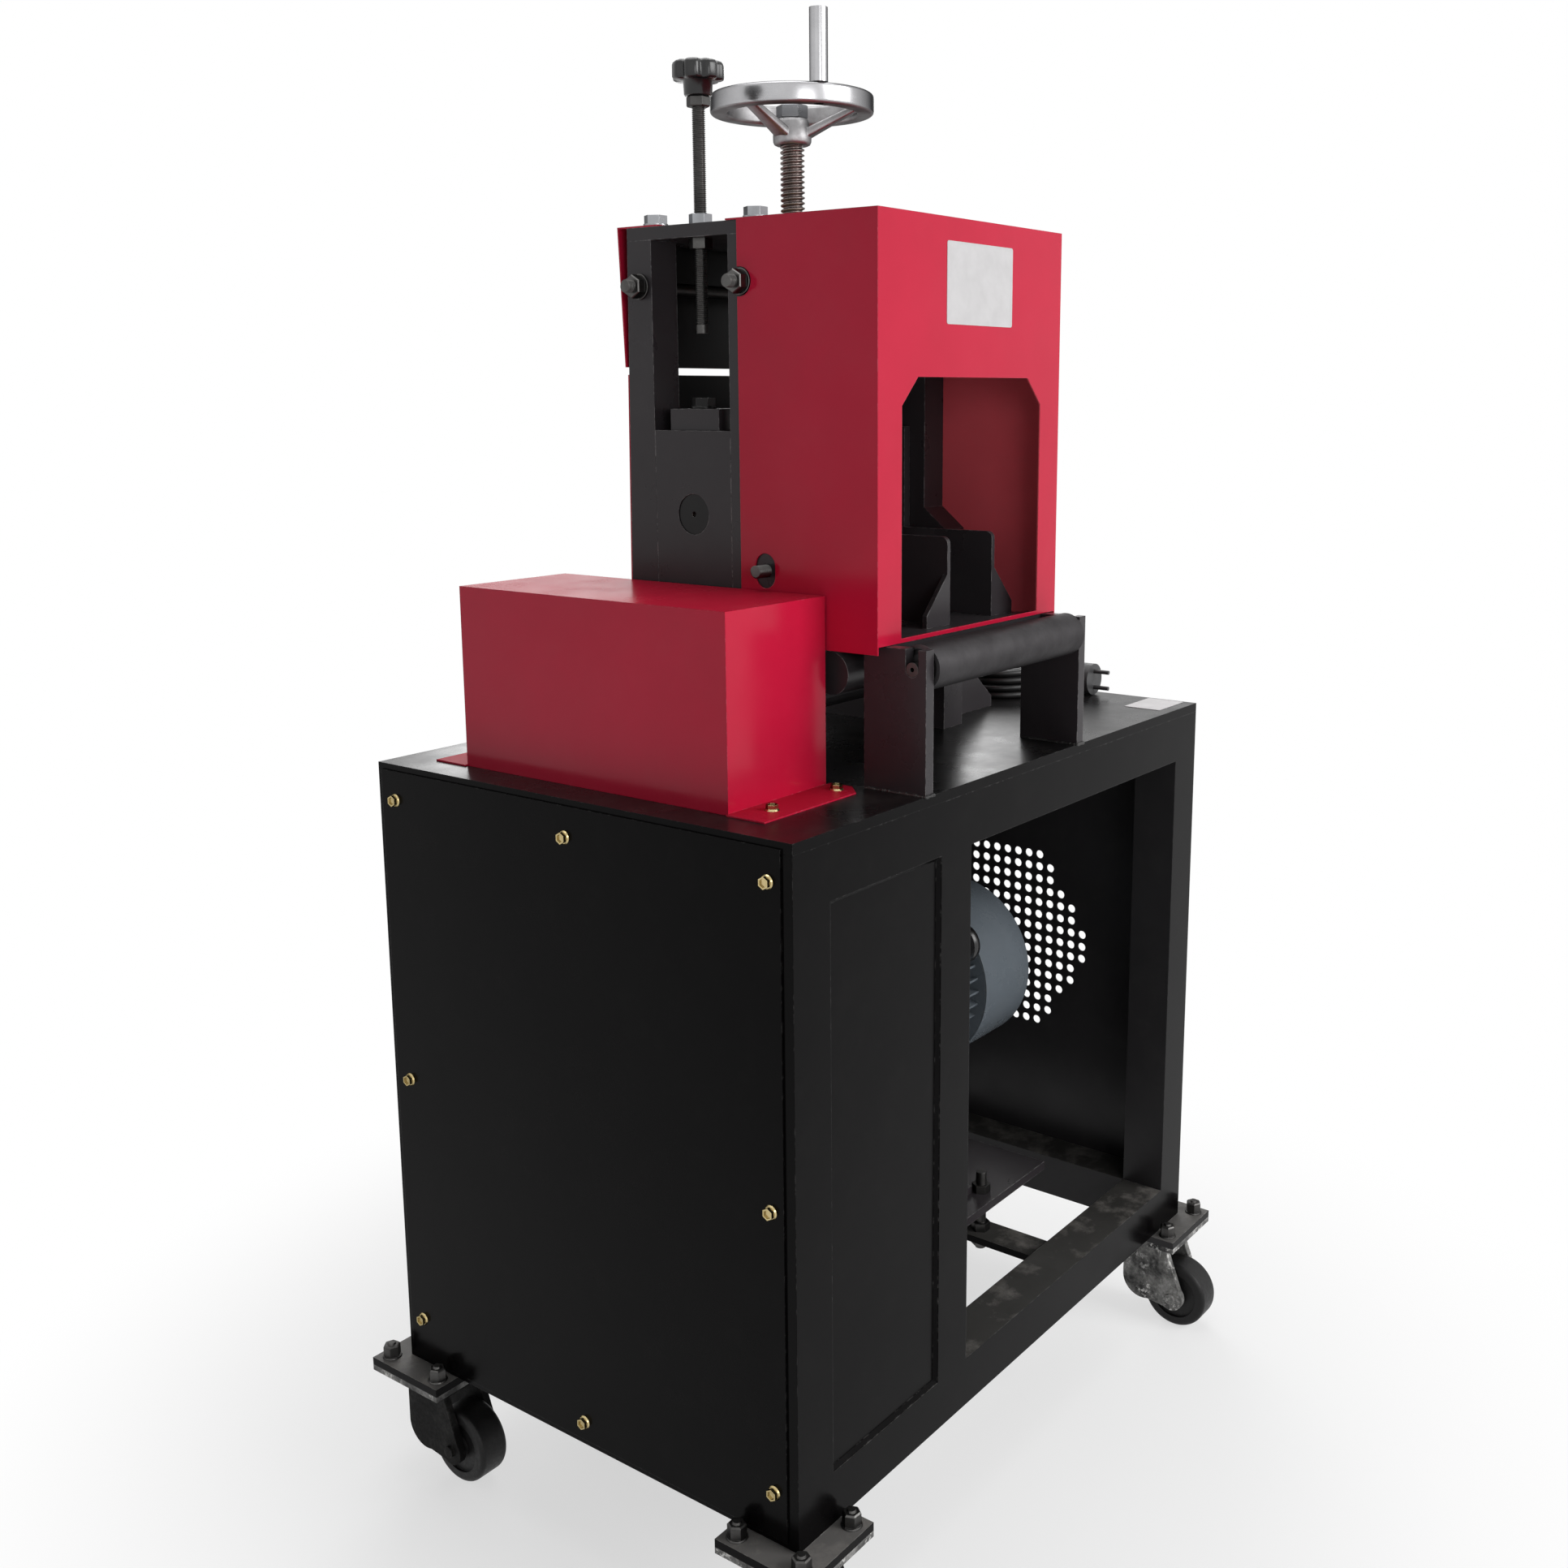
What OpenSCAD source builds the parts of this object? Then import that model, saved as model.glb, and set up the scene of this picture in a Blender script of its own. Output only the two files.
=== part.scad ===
// Wire stripping machine: a welded cabinet on four swivel casters carries a head with a screw-down
// cutting blade over a driven feed roller. Millimetres, +Z up, origin on the floor under the middle.
// The feed side faces -Y and the closed side panel faces -X.

/* [Cabinet] */
// Width of the table plate along the feed face
table_w = 750; // [700:5:820]
// Depth of the table plate
table_d = 515; // [490:5:560]
// Height of the cabinet from the frame's underside to the table top
cabinet_h = 635; // [600:5:700]
// Height of the frame's underside over the floor
caster_h = 125; // [120:1:135]
// Side of the square frame tube
tube = 50; // [40:1:55]
// Thickness of the table plate
plate_t = 10; // [8:0.5:14]
// Thickness of the cabinet's sheet panels
panel_t = 2; // [1.5:0.1:3]
// Width of the narrow closed bay at the left of the feed face
bay_w = 167; // [140:1:190]

/* [Head] */
// Offset of the head's middle from the cabinet's middle
head_x = -41; // [-46:1:-30]
// Half of the distance between the stands' outer faces
stand_half = 155; // [150:1:158]
// Thickness of a stand
stand_t = 35; // [30:1:38]
// Height of the stands over the table
stand_h = 493; // [480:1:505]
// Width of the window that the sliding block runs in
window_w = 94; // [88:1:98]
// Height of the window's sill over the table
window_sill = 112; // [110:1:118]
// Width of the upright on either side of the window
jamb_w = 30; // [27:1:33]
// Thickness of the plate that ties the stands at the top
top_t = 12; // [10:0.5:15]
// Thickness of the red covers
cover_t = 1.5; // [1.2:0.1:2]
// Distance from the head's middle to the hood's front face
hood_reach = 214.5; // [208:0.5:216]
// Half width of the feed opening in the hood
mouth_half = 120; // [110:1:125]
// Height of the top of the feed opening over the table
mouth_top = 366; // [350:1:375]

/* [Cutting gear] */
// Diameter of the shaft that carries the blade
blade_shaft_d = 38; // [34:1:40]
// Diameter of the cutting blade
blade_d = 120; // [110:1:124]
// Height of the blade shaft over the table at rest
blade_z = 240; // [236:1:244]
// Diameter of the driven feed roller
drum_d = 104; // [98:1:106]
// Height of the driven feed roller's axis over the table
drum_z = 78; // [76:1:79]
// Diameter of the driven roller's shaft
drum_shaft_d = 36; // [30:1:38]
// Diameter of the trapezoidal lead screw
screw_d = 24; // [20:1:28]
// Outer diameter of the handwheel
wheel_d = 160; // [150:1:170]
// Height of the handwheel's rim over the table at rest
wheel_z = 628; // [620:1:640]
// Diameter of the stop rod
stop_d = 12; // [10:1:12]
// Outer diameter of the star knob
knob_d = 48; // [44:1:52]

/* [Feed table] */
// Height of the roller brackets over the table
bracket_h = 131; // [128:1:134]
// Thickness of the roller brackets
bracket_t = 12; // [10:0.5:14]
// Half of the distance between the brackets' inner faces
bracket_half = 132; // [128:1:136]
// Diameter of the idle roller
idler_d = 42; // [38:1:44]
// Diameter of the idle roller's axle
idler_axle_d = 13; // [11:0.5:14]
// Height of the guide plates over the bed
guide_h = 85; // [75:1:95]
// Clear width between the guide plates
guide_gap = 76; // [70:1:80]

/* [Drive] */
// Height of the motor's axis over the floor
motor_z = 437; // [434:1:445]
// Diameter over the motor's fins
motor_d = 176; // [165:1:184]
// Outer diameter of the fan cowl
cowl_d = 198; // [190:1:204]
// Pitch diameter of the pulley on the driven roller
driven_pulley_d = 140; // [130:1:146]
// Pitch diameter of the pulley on the reducer
drive_pulley_d = 90; // [80:1:100]
// Pitch of the vent holes
vent_pitch = 15.5; // [14:0.1:17]
// Diameter of a vent hole
vent_hole_d = 10.3; // [8:0.1:11]

/* [Belt guard] */
// Length of the guard along the side
guard_l = 330; // [310:1:345]
// Height of the guard over the table
guard_h = 174; // [170:1:185]
// Width of the guard
guard_w = 137; // [125:1:145]

/* [Casters] */
// Side of the square caster plate
caster_plate = 100; // [96:1:104]
// Distance between the caster bolts
caster_bolt_pitch = 72; // [68:1:74]
// Diameter of the caster wheel
caster_wheel_d = 78; // [72:1:80]
// Width of the caster wheel
caster_wheel_w = 34; // [30:1:36]
// Distance from the swivel axis to the wheel axis
caster_trail = 38; // [34:1:42]

/* [Fits] */
// Radial clearance of shafts in their bearings
run_clear = 0.05; // [0.02:0.01:0.1]
// Gap between sliding or turning faces
slide_clear = 0.3; // [0.3:0.05:0.5]
// Radial clearance of bolts in their holes
bolt_clear = 0.25; // [0.2:0.05:0.5]

/* [Hidden] */
$fn = 64;
table_top = caster_h + cabinet_h;
half_w = table_w / 2;
half_d = table_d / 2;
frame_top = table_top - plate_t;
body_black = "#1b1b1d";
cover_red = "#b3202f";

// A box given by its two ends along each axis
module span(x, y, z) {
    translate([x[0], y[0], z[0]]) cube([x[1] - x[0], y[1] - y[0], z[1] - z[0]]);
}

// A cylinder along X from one end to the other
module rod_x(d, x, y, z) {
    translate([x[0], y, z]) rotate([0, 90, 0]) cylinder(d = d, h = x[1] - x[0]);
}

// A cylinder along Y from one end to the other
module rod_y(d, x, y, z) {
    translate([x, y[1], z]) rotate([90, 0, 0]) cylinder(d = d, h = y[1] - y[0]);
}

// A cylinder along Z from one height to the other
module rod_z(d, x, y, z) {
    translate([x, y, z[0]]) cylinder(d = d, h = z[1] - z[0]);
}

// A hexagon prism along Z, given over its flats
module hex_z(flats, x, y, z) {
    translate([x, y, z[0]]) cylinder(d = flats / cos(30), h = z[1] - z[0], $fn = 6);
}

// A profile drawn in Y and Z, thickened along X
module slab_x(x) {
    translate([x[0], 0, 0]) rotate([90, 0, 90]) linear_extrude(x[1] - x[0]) children();
}

// The casters trail forward, so the cabinet's middle lies behind the middle of the whole machine
cabinet_y = (caster_trail + caster_wheel_d / 2 - caster_plate / 2) / 2;

// The cabinet's own frame: its middle, on the floor
module at_cabinet() {
    translate([0, cabinet_y, 0]) children();
}

// The head's own frame: its middle, on the table top
module at_head() {
    translate([head_x, cabinet_y, table_top]) children();
}

// A hex bolt standing on the face at Z = 0, with a washer and a shank of the given grip
module hex_bolt(d, grip) {
    rod_z(d, 0, 0, [-grip, 0.6 * d]);
    rod_z(1.95 * d, 0, 0, [0, 0.2 * d]);
    hex_z(1.6 * d, 0, 0, [0.2 * d, 0.85 * d]);
}

// Cabinet values
post_x0 = -half_w + tube + bay_w;
caster_inset = 22;
caster_pad_t = 8;
caster_plate_t = 6;
pad_x = half_w - caster_inset;
pad_y = half_d - caster_inset;
caster_bolt_d = 8;
rail_top = caster_h + tube;
zinc_d = 6;
zinc_hole = zinc_d + 2 * bolt_clear;
zinc_grip = 12;
panel_margin = 6;
side_screw_y = [half_d - tube / 2, 0, -half_d + tube / 2];

// The eight screw places on a side panel, as [y, z]
side_screws = [
    for (y = side_screw_y) [y, frame_top - tube / 2],
    for (y = [side_screw_y[0], side_screw_y[2]]) [y, (frame_top + caster_h) / 2],
    for (y = [side_screw_y[0], side_screw_y[2]]) [y, rail_top],
    [0, caster_h + tube / 2]
];

// The screw places on the back panel, as [x, z]
back_screw_x = [-half_w + tube / 2, 0, half_w - tube / 2];
back_screws = [
    for (x = back_screw_x) [x, frame_top - tube / 2],
    for (x = [back_screw_x[0], back_screw_x[2]]) [x, (frame_top + caster_h) / 2],
    for (x = back_screw_x) [x, caster_h + tube / 2]
];

// Motor plate and its carriers
mount_plate_t = 10;
mount_plate_top = 210;
mount_plate_x = [-195, 247];
mount_plate_y = [-142, 143];
hinge_pin_d = 16;
hinge_lug = 30;
hinge_y = mount_plate_y[1] + 30;
hinge_z = mount_plate_top - mount_plate_t / 2;
hinge_lug_x = [-120, 170];
knuckle_w = 40;
tension_d = 12;
tension_over = 24;
tension_under = 14;
tension_x = [-110, 140];
tension_y = mount_plate_y[0] + 22;
tension_lug_t = 8;
tension_lug_z = caster_h + tube - 12;

module hinge_lug(x) {
    reach = [hinge_y - hinge_lug / 2, half_d - tube];
    for (side = [-1, 1]) {
        at = x + side * (knuckle_w / 2 + slide_clear + tension_lug_t / 2);
        span([at - tension_lug_t / 2, at + tension_lug_t / 2], reach,
             [rail_top - hinge_lug, hinge_z + hinge_lug / 2]);
    }
}

module cabinet_frame() {
    color(body_black) at_cabinet() difference() {
        union() {
            for (sx = [-1, 1], sy = [-1, 1]) {
                cx = sx * (half_w - tube / 2);
                cy = sy * (half_d - tube / 2);
                translate([cx - tube / 2, cy - tube / 2, caster_h])
                    cube([tube, tube, frame_top - caster_h]);
                translate([sx * pad_x - caster_plate / 2, sy * pad_y - caster_plate / 2,
                    caster_h - caster_pad_t])
                    cube([caster_plate, caster_plate, caster_pad_t]);
            }
            for (z = [caster_h, frame_top - tube], s = [-1, 1]) {
                span([-half_w, half_w],
                    [s * (half_d - tube / 2) - tube / 2, s * (half_d - tube / 2) + tube / 2],
                     [z, z + tube]);
                span([s * (half_w - tube / 2) - tube / 2, s * (half_w - tube / 2) + tube / 2],
                    [-half_d, half_d],
                     [z, z + tube]);
            }
            span([post_x0, post_x0 + tube], [-half_d, -half_d + tube], [caster_h, frame_top]);
            for (x = hinge_lug_x) hinge_lug(x);
            for (x = tension_x) {
                span([x - 20, x + 20], [-half_d + tube, tension_y + 16],
                     [tension_lug_z - tension_lug_t, tension_lug_z]);
            }
        }
        for (p = side_screws) {
            rod_x(zinc_hole, [-half_w - 1, -half_w + zinc_grip + 1], p[0], p[1]);
            rod_x(zinc_hole, [half_w - zinc_grip - 1, half_w + 1], p[0], p[1]);
        }
        for (p = back_screws) rod_y(zinc_hole, p[0], [half_d - zinc_grip - 1, half_d + 1], p[1]);
        for (sx = [-1, 1], sy = [-1, 1])
            caster_bolt_holes(sx, sy, [caster_h - caster_pad_t - 1, caster_h + 1]);
        rod_x(hinge_pin_d + 2 * bolt_clear, [-half_w, half_w], hinge_y, hinge_z);
        for (x = tension_x) rod_z(tension_d + 2 * bolt_clear, x, tension_y, [caster_h, rail_top]);
    }
}

// Bolt places of one caster, on the three outer corners and the inner one
module caster_bolt_holes(sx, sy, z) {
    for (bx = [-1, 1], by = [-1, 1])
        rod_z(caster_bolt_d + 2 * bolt_clear, sx * pad_x + bx * caster_bolt_pitch / 2,
              sy * pad_y + by * caster_bolt_pitch / 2, z);
}

// Belt run and its slot in the table
belt_x = head_x - stand_half - 64;
pulley_w = 40;
belt_slot_w = pulley_w + 16;
belt_slot_l = driven_pulley_d + 40;
guard_right = head_x - stand_half - cover_t - 2;
guard_x = [guard_right - guard_w, guard_right];
guard_y = [-guard_l / 2 + 7, guard_l / 2 + 7];
guard_flange = 42;
guard_flange_x = [guard_x[0] - 3, guard_x[1] + 6];
guard_screws = [
    for (x = [guard_x[0] + 33, guard_x[1] - 12]) [x, guard_y[0] - guard_flange / 2],
    for (x = [guard_x[0] + 29, guard_x[1] - 12]) [x, guard_y[1] + guard_flange / 2]
];
gland_d = 20;
cord_d = 8;
coil_mid = [303, -34];
coil_r = 50;
coil_start = 45;
lead_run = 165;
coil_in_dir = [sin(coil_start), -cos(coil_start), 0];
coil_entry = coil_mid + coil_r * [cos(coil_start), sin(coil_start)];
gland_pos = coil_entry - lead_run * [coil_in_dir[0], coil_in_dir[1]];

module table_plate() {
    color(body_black) at_cabinet() difference() {
        span([-half_w, half_w], [-half_d, half_d], [frame_top, table_top]);
        span([belt_x - belt_slot_w / 2, belt_x + belt_slot_w / 2], [-belt_slot_l / 2, belt_slot_l / 2],
             [frame_top - 1, table_top + 1]);
        for (p = guard_screws) rod_z(zinc_hole, p[0], p[1], [frame_top - 1, table_top + 1]);
        rod_z(gland_d + 2 * bolt_clear, gland_pos[0], gland_pos[1], [frame_top - 1, table_top + 1]);
    }
}

// A sheet panel on the cabinet's side, drilled for its screws
module side_panel(s) {
    x = s < 0 ? [-half_w - panel_t, -half_w] : [half_w, half_w + panel_t];
    difference() {
        span(x, [-half_d + 11, half_d - panel_margin],
            [caster_h + panel_margin, table_top - panel_margin]);
        for (p = side_screws) rod_x(zinc_hole, [x[0] - 1, x[1] + 1], p[0], p[1]);
    }
}

module left_panel() {
    color(body_black) at_cabinet() side_panel(-1);
}

// The vent is a square grid of holes in front of the motor's fan, given by the number of holes that
// each column has over and under its middle hole, from the middle column outward
vent_half = [7, 7, 7, 7, 6, 4, 3, 1];
vent_n = len(vent_half) - 1;
drive_y = -8;
module right_panel() {
    color(body_black) at_cabinet() difference() {
        side_panel(1);
        for (i = [-vent_n : vent_n], j = [-vent_half[abs(i)] : vent_half[abs(i)]])
            rod_x(vent_hole_d, [half_w - 1, half_w + panel_t + 1], drive_y + i * vent_pitch,
                  motor_z + j * vent_pitch);
    }
}

module back_panel() {
    color(body_black) at_cabinet() difference() {
        span([-half_w + panel_margin, half_w - panel_margin], [half_d, half_d + panel_t],
             [caster_h + panel_margin, table_top - panel_margin]);
        for (p = back_screws) rod_y(zinc_hole, p[0], [half_d - 1, half_d + panel_t + 1], p[1]);
    }
}

// The narrow sheet that closes the bay beside the front window
module front_panel() {
    gap = 0.2;
    color(body_black) at_cabinet()
        span([-half_w + tube + gap, post_x0 - gap], [-half_d + 4, -half_d + 4 + panel_t],
                           [rail_top + gap, frame_top - tube - gap]);
}

// Flanged zinc screws of the side and back panels and of the belt guard
module zinc_screw() {
    rod_z(zinc_d, 0, 0, [-zinc_grip, 0.6 * zinc_d]);
    rod_z(2.2 * zinc_d, 0, 0, [0, 0.25 * zinc_d]);
    hex_z(1.6 * zinc_d, 0, 0, [0.25 * zinc_d, 0.85 * zinc_d]);
}

module zinc_screws() {
    color("#c9a646") at_cabinet() {
        for (p = side_screws) {
            translate([-half_w - panel_t, p[0], p[1]]) rotate([0, -90, 0]) zinc_screw();
            translate([half_w + panel_t, p[0], p[1]]) rotate([0, 90, 0]) zinc_screw();
        }
        for (p = back_screws) translate([p[0], half_d + panel_t, p[1]]) rotate([-90, 0, 0]) zinc_screw();
        for (p = guard_screws) translate([p[0], p[1], table_top + cover_t]) zinc_screw();
    }
}

module motor_plate() {
    z = [mount_plate_top - mount_plate_t, mount_plate_top];
    color(body_black) at_cabinet() difference() {
        union() {
            span(mount_plate_x, mount_plate_y, z);
            for (x = hinge_lug_x) {
                rod_x(hinge_lug, [x - knuckle_w / 2, x + knuckle_w / 2], hinge_y, hinge_z);
                span([x - knuckle_w / 2, x + knuckle_w / 2], [mount_plate_y[1] - 1, hinge_y], z);
            }
        }
        rod_x(hinge_pin_d + 2 * bolt_clear, [-half_w, half_w], hinge_y, hinge_z);
        for (x = tension_x) rod_z(tension_d + 2 * bolt_clear, x, tension_y, [z[0] - 1, z[1] + 1]);
        for (p = stool_bolts) rod_z(stool_bolt_d + 2 * bolt_clear, p[0], p[1], [z[0] - 1, z[1] + 1]);
        for (p = reducer_bolts) rod_z(stool_bolt_d + 2 * bolt_clear, p[0], p[1], [z[0] - 1, z[1] + 1]);
    }
}

// The pin that the motor plate tips on and the two rods that set the belts' tension
module plate_rods() {
    half_pin = knuckle_w / 2 + slide_clear + tension_lug_t + 4;
    nut_h = 0.8 * tension_d;
    color("#4a4a4c") at_cabinet() {
        for (x = hinge_lug_x) rod_x(hinge_pin_d, [x - half_pin, x + half_pin], hinge_y, hinge_z);
        for (x = tension_x) {
            rod_z(tension_d, x, tension_y,
                [tension_lug_z - tension_lug_t - tension_under, mount_plate_top + tension_over]);
            difference() {
                union() {
                    for (z = [mount_plate_top, mount_plate_top - mount_plate_t - nut_h, tension_lug_z,
                              tension_lug_z - tension_lug_t - nut_h])
                        hex_z(1.55 * tension_d, x, tension_y, [z, z + nut_h]);
                }
                rod_z(tension_d + 2 * run_clear, x, tension_y,
                    [caster_h, mount_plate_top + tension_over + 6]);
            }
        }
    }
}

// Motor, its stool and the reducer
stool_t = 8;
stool_bolt_d = 10;
motor_x = [-45, 182];
cowl_x = [182, 262];
stool_x = [40, 130];
stool_half = 70;
stool_top = motor_z - motor_d / 2 - 4;
stool_foot = 36;
stool_bolts = [
    for (x = [stool_x[1] - 20, stool_x[0] + 20], s = [-1, 1]) [x,
        drive_y + s * (stool_half + stool_foot / 2)]
];
motor_foot_half = 55;
module motor_stool() {
    color(body_black) at_cabinet() difference() {
        union() {
            span(stool_x, [drive_y - stool_half, drive_y + stool_half], [stool_top - stool_t, stool_top]);
            for (s = [-1, 1]) {
                y = drive_y + s * (stool_half - stool_t / 2);
                span(stool_x, [y - stool_t / 2, y + stool_t / 2], [mount_plate_top, stool_top]);
                f = drive_y + s * (stool_half - stool_t / 2 + stool_foot / 2);
                span(stool_x, [f - (stool_foot + stool_t) / 2, f + (stool_foot + stool_t) / 2],
                     [mount_plate_top, mount_plate_top + stool_t]);
            }
        }
        for (p = stool_bolts)
            rod_z(stool_bolt_d + 2 * bolt_clear, p[0], p[1], [mount_plate_top - 1, stool_top - 20]);
    }
}

reducer_x = [-180, -50];
reducer_half = 72;
output_rise = 92;
output_z = mount_plate_top + output_rise;
reducer_foot = 26;
reducer_foot_t = 14;
reducer_bolts = [
    for (x = [reducer_x[0] + 22, reducer_x[1] - 22], s = [-1, 1])
        [x, drive_y + s * (reducer_half + reducer_foot / 2)]
];
output_d = 30;
output_x = [belt_x - pulley_w / 2, reducer_x[0] + 40];
module reducer() {
    color("#3d4246") at_cabinet() difference() {
        union() {
            slab_x(reducer_x) {
                translate([drive_y, output_z]) circle(r = reducer_half);
                translate([drive_y, motor_z]) circle(r = reducer_half);
                translate([drive_y - reducer_half, output_z])
                    square([2 * reducer_half, motor_z - output_z]);
                translate([drive_y - reducer_half, mount_plate_top])
                    square([2 * reducer_half, output_z - mount_plate_top]);
            }
            span(reducer_x,
                [drive_y - reducer_half - reducer_foot, drive_y + reducer_half + reducer_foot],
                 [mount_plate_top, mount_plate_top + reducer_foot_t]);
            rod_x(78, [reducer_x[0] - 12, reducer_x[0]], drive_y, output_z);
            rod_x(motor_d - 10, [reducer_x[1], motor_x[0]], drive_y, motor_z);
        }
        rod_x(output_d + 2 * run_clear, [reducer_x[0] - 20, output_x[1] + 1], drive_y, output_z);
        for (p = reducer_bolts)
            rod_z(stool_bolt_d + 2 * bolt_clear, p[0], p[1],
                [mount_plate_top - 1, mount_plate_top + reducer_foot_t + 1]);
    }
}

// Motor: a finned body with cast feet, a terminal side and a drive flange
fin_n = 36;
fin_t = 2.4;
fin_root_d = 138;
motor_shaft_d = 24;
cowl_t = 1.5;
module motor() {
    color("#5d666d") at_cabinet() difference() {
        union() {
            translate([motor_x[0] + 14, drive_y, motor_z]) rotate([0, 90, 0])
                linear_extrude(motor_x[1] - motor_x[0] - 28) {
                    circle(d = fin_root_d);
                    for (i = [0 : fin_n - 1])
                        rotate(i * 360 / fin_n) translate([fin_root_d / 2 - 2, -fin_t / 2])
                            square([(motor_d - fin_root_d) / 2 + 2, fin_t]);
                }
            rod_x(motor_d, [motor_x[0], motor_x[0] + 14], drive_y, motor_z);
            rod_x(cowl_d - 2 * cowl_t - 2 * bolt_clear, [motor_x[1] - 14, motor_x[1]], drive_y, motor_z);
            span(stool_x, [drive_y - motor_foot_half, drive_y + motor_foot_half],
                [stool_top, stool_top + 12]);
            for (s = [-1, 1]) {
                y = drive_y + s * (motor_foot_half - 8);
                span(stool_x, [y - 8, y + 8], [stool_top, motor_z - fin_root_d / 4]);
            }
        }
        rod_x(motor_shaft_d + 2 * run_clear, [motor_x[1] - 40, motor_x[1] + 1], drive_y, motor_z);
    }
}

// Fan cowl: a drawn cup with a ring of slots in its end
cowl_slot_n = 12;
module fan_cowl() {
    color("#5d666d") at_cabinet() difference() {
        rod_x(cowl_d, [motor_x[1] - 14, cowl_x[1]], drive_y, motor_z);
        rod_x(cowl_d - 2 * cowl_t, [motor_x[1] - 15, cowl_x[1] - cowl_t], drive_y, motor_z);
        for (r = [0.16, 0.26, 0.36] * cowl_d, i = [0 : cowl_slot_n - 1])
            translate([cowl_x[1] - 5, drive_y, motor_z]) rotate([i * 360 / cowl_slot_n, 0, 0])
                translate([0, 0, r]) rotate([0, 90, 0]) cylinder(d = 11, h = 10);
    }
}

fan_blades = 7;
module motor_fan() {
    fan_r = cowl_d / 2 - cowl_t - 8;
    back = motor_x[1] + 12;
    color("#222426") at_cabinet() translate([0, drive_y, motor_z]) {
        rod_x(motor_shaft_d, [motor_x[1] - 38, cowl_x[1] - 16], 0, 0);
        rod_x(2 * fan_r, [back, back + 3], 0, 0);
        rod_x(motor_shaft_d + 16, [back, back + 32], 0, 0);
        for (i = [0 : fan_blades - 1])
            rotate([i * 360 / fan_blades, 0, 0])
                span([back + 2, back + 34], [-1.5, 1.5], [15, fan_r - 2]);
    }
}

// Start capacitor clamped on the motor's feed side
capacitor_d = 46;
capacitor_x = [60, 150];
capacitor_angle = 38;
module capacitor() {
    off = (motor_d + capacitor_d) / 2 + slide_clear;
    cap_y = drive_y - off * cos(capacitor_angle);
    cap_z = motor_z + off * sin(capacitor_angle);
    color("#18181a") at_cabinet() rod_x(capacitor_d, capacitor_x, cap_y, cap_z);
}

// Pulleys and belts
belt_top_w = 13;
belt_over = 2;
belt_steps = [-1, -5];
belt_gap = 0.4;
groove_rim = 4;
belt_pitch = 17;
groove_depth = 13;
belt_angle = 34;
belt_axis = [[drive_y, output_z], [0, table_top + drum_z]];

// A two-groove pulley turned about X
module pulley(d, bore, x) {
    r = d / 2 + groove_rim;
    half = belt_top_w / 2 + belt_gap;
    foot = half - groove_depth * tan(belt_angle / 2);
    translate([x, 0, 0]) rotate([0, 90, 0]) rotate_extrude()
        difference() {
            translate([bore / 2, -pulley_w / 2]) square([r - bore / 2, pulley_w]);
            for (s = [-1, 1])
                translate([0, s * belt_pitch / 2])
                    polygon([[r + 0.01, -half], [r + 0.01, half], [r - groove_depth, foot],
                        [r - groove_depth, -foot]]);
        }
}

// Outline of a belt round both pulleys, at a height over the pitch line
belt_run = belt_axis[1] - belt_axis[0];
belt_heading = atan2(belt_run[1], belt_run[0]);
belt_arc_steps = 24;
function arc(mid, r, from, sweep) = [
    for (i = [0 : belt_arc_steps])
        let (a = from + sweep * i / belt_arc_steps) mid + r * [cos(a), sin(a)]
];
module belt_outline(over) {
    ra = drive_pulley_d / 2 + over;
    rb = driven_pulley_d / 2 + over;
    wrap = 90 + asin((rb - ra) / norm(belt_run));
    polygon(concat(
        arc(belt_axis[1], rb, belt_heading - wrap, 2 * wrap),
        arc(belt_axis[0], ra, belt_heading + wrap, 360 - 2 * wrap)
    ));
}

// Half width of a belt at a height over its pitch line, so that it clears the groove's flanks
function belt_half(over) = belt_top_w / 2 - (groove_rim - over) * tan(belt_angle / 2);

// Two belts, each stepped to follow the groove's taper
module belts() {
    color("#141414") at_cabinet() for (s = [-1, 1], over = belt_steps) {
        mid = belt_x + s * belt_pitch / 2;
        half = belt_half(over);
        slab_x([mid - half, mid + half]) difference() {
            belt_outline(belt_over);
            belt_outline(over);
        }
    }
}

module drive_pulley() {
    color("#6b6e70") at_cabinet() translate([0, drive_y, output_z]) {
        pulley(drive_pulley_d, output_d - 2, belt_x);
        rod_x(output_d, output_x, 0, 0);
    }
}

module driven_pulley() {
    color("#6b6e70") at_cabinet() translate([0, 0, table_top + drum_z])
        pulley(driven_pulley_d, drum_shaft_d, belt_x);
}

// Belt guard: a red sheet box, open at the table and toward the stand, with a foot flange front and back
module belt_guard() {
    z = [table_top, table_top + guard_h];
    color(cover_red) at_cabinet() difference() {
        union() {
            span(guard_x, guard_y, z);
            for (end = [[guard_y[0] - guard_flange, guard_y[0]], [guard_y[1], guard_y[1] + guard_flange]])
                span(guard_flange_x, end, [z[0], z[0] + cover_t]);
        }
        span([guard_x[0] + cover_t, guard_x[1] - cover_t], [guard_y[0] + cover_t, guard_y[1] - cover_t],
             [z[0] - 1, z[1] - cover_t]);
        span([guard_x[1] - cover_t - 1, guard_x[1] + 1], [-bearing_half - 6, bearing_half + 6],
             [z[0] - 1, table_top + drum_z + bearing_half + 6]);
        for (p = guard_screws) rod_z(zinc_hole, p[0], p[1], [z[0] - 1, z[0] + cover_t + 1]);
        translate([guard_flange_x[1], guard_y[0] - guard_flange, z[0] - 1]) rotate(45)
            cube([24, 24, 6], center = true);
    }
}

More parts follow.
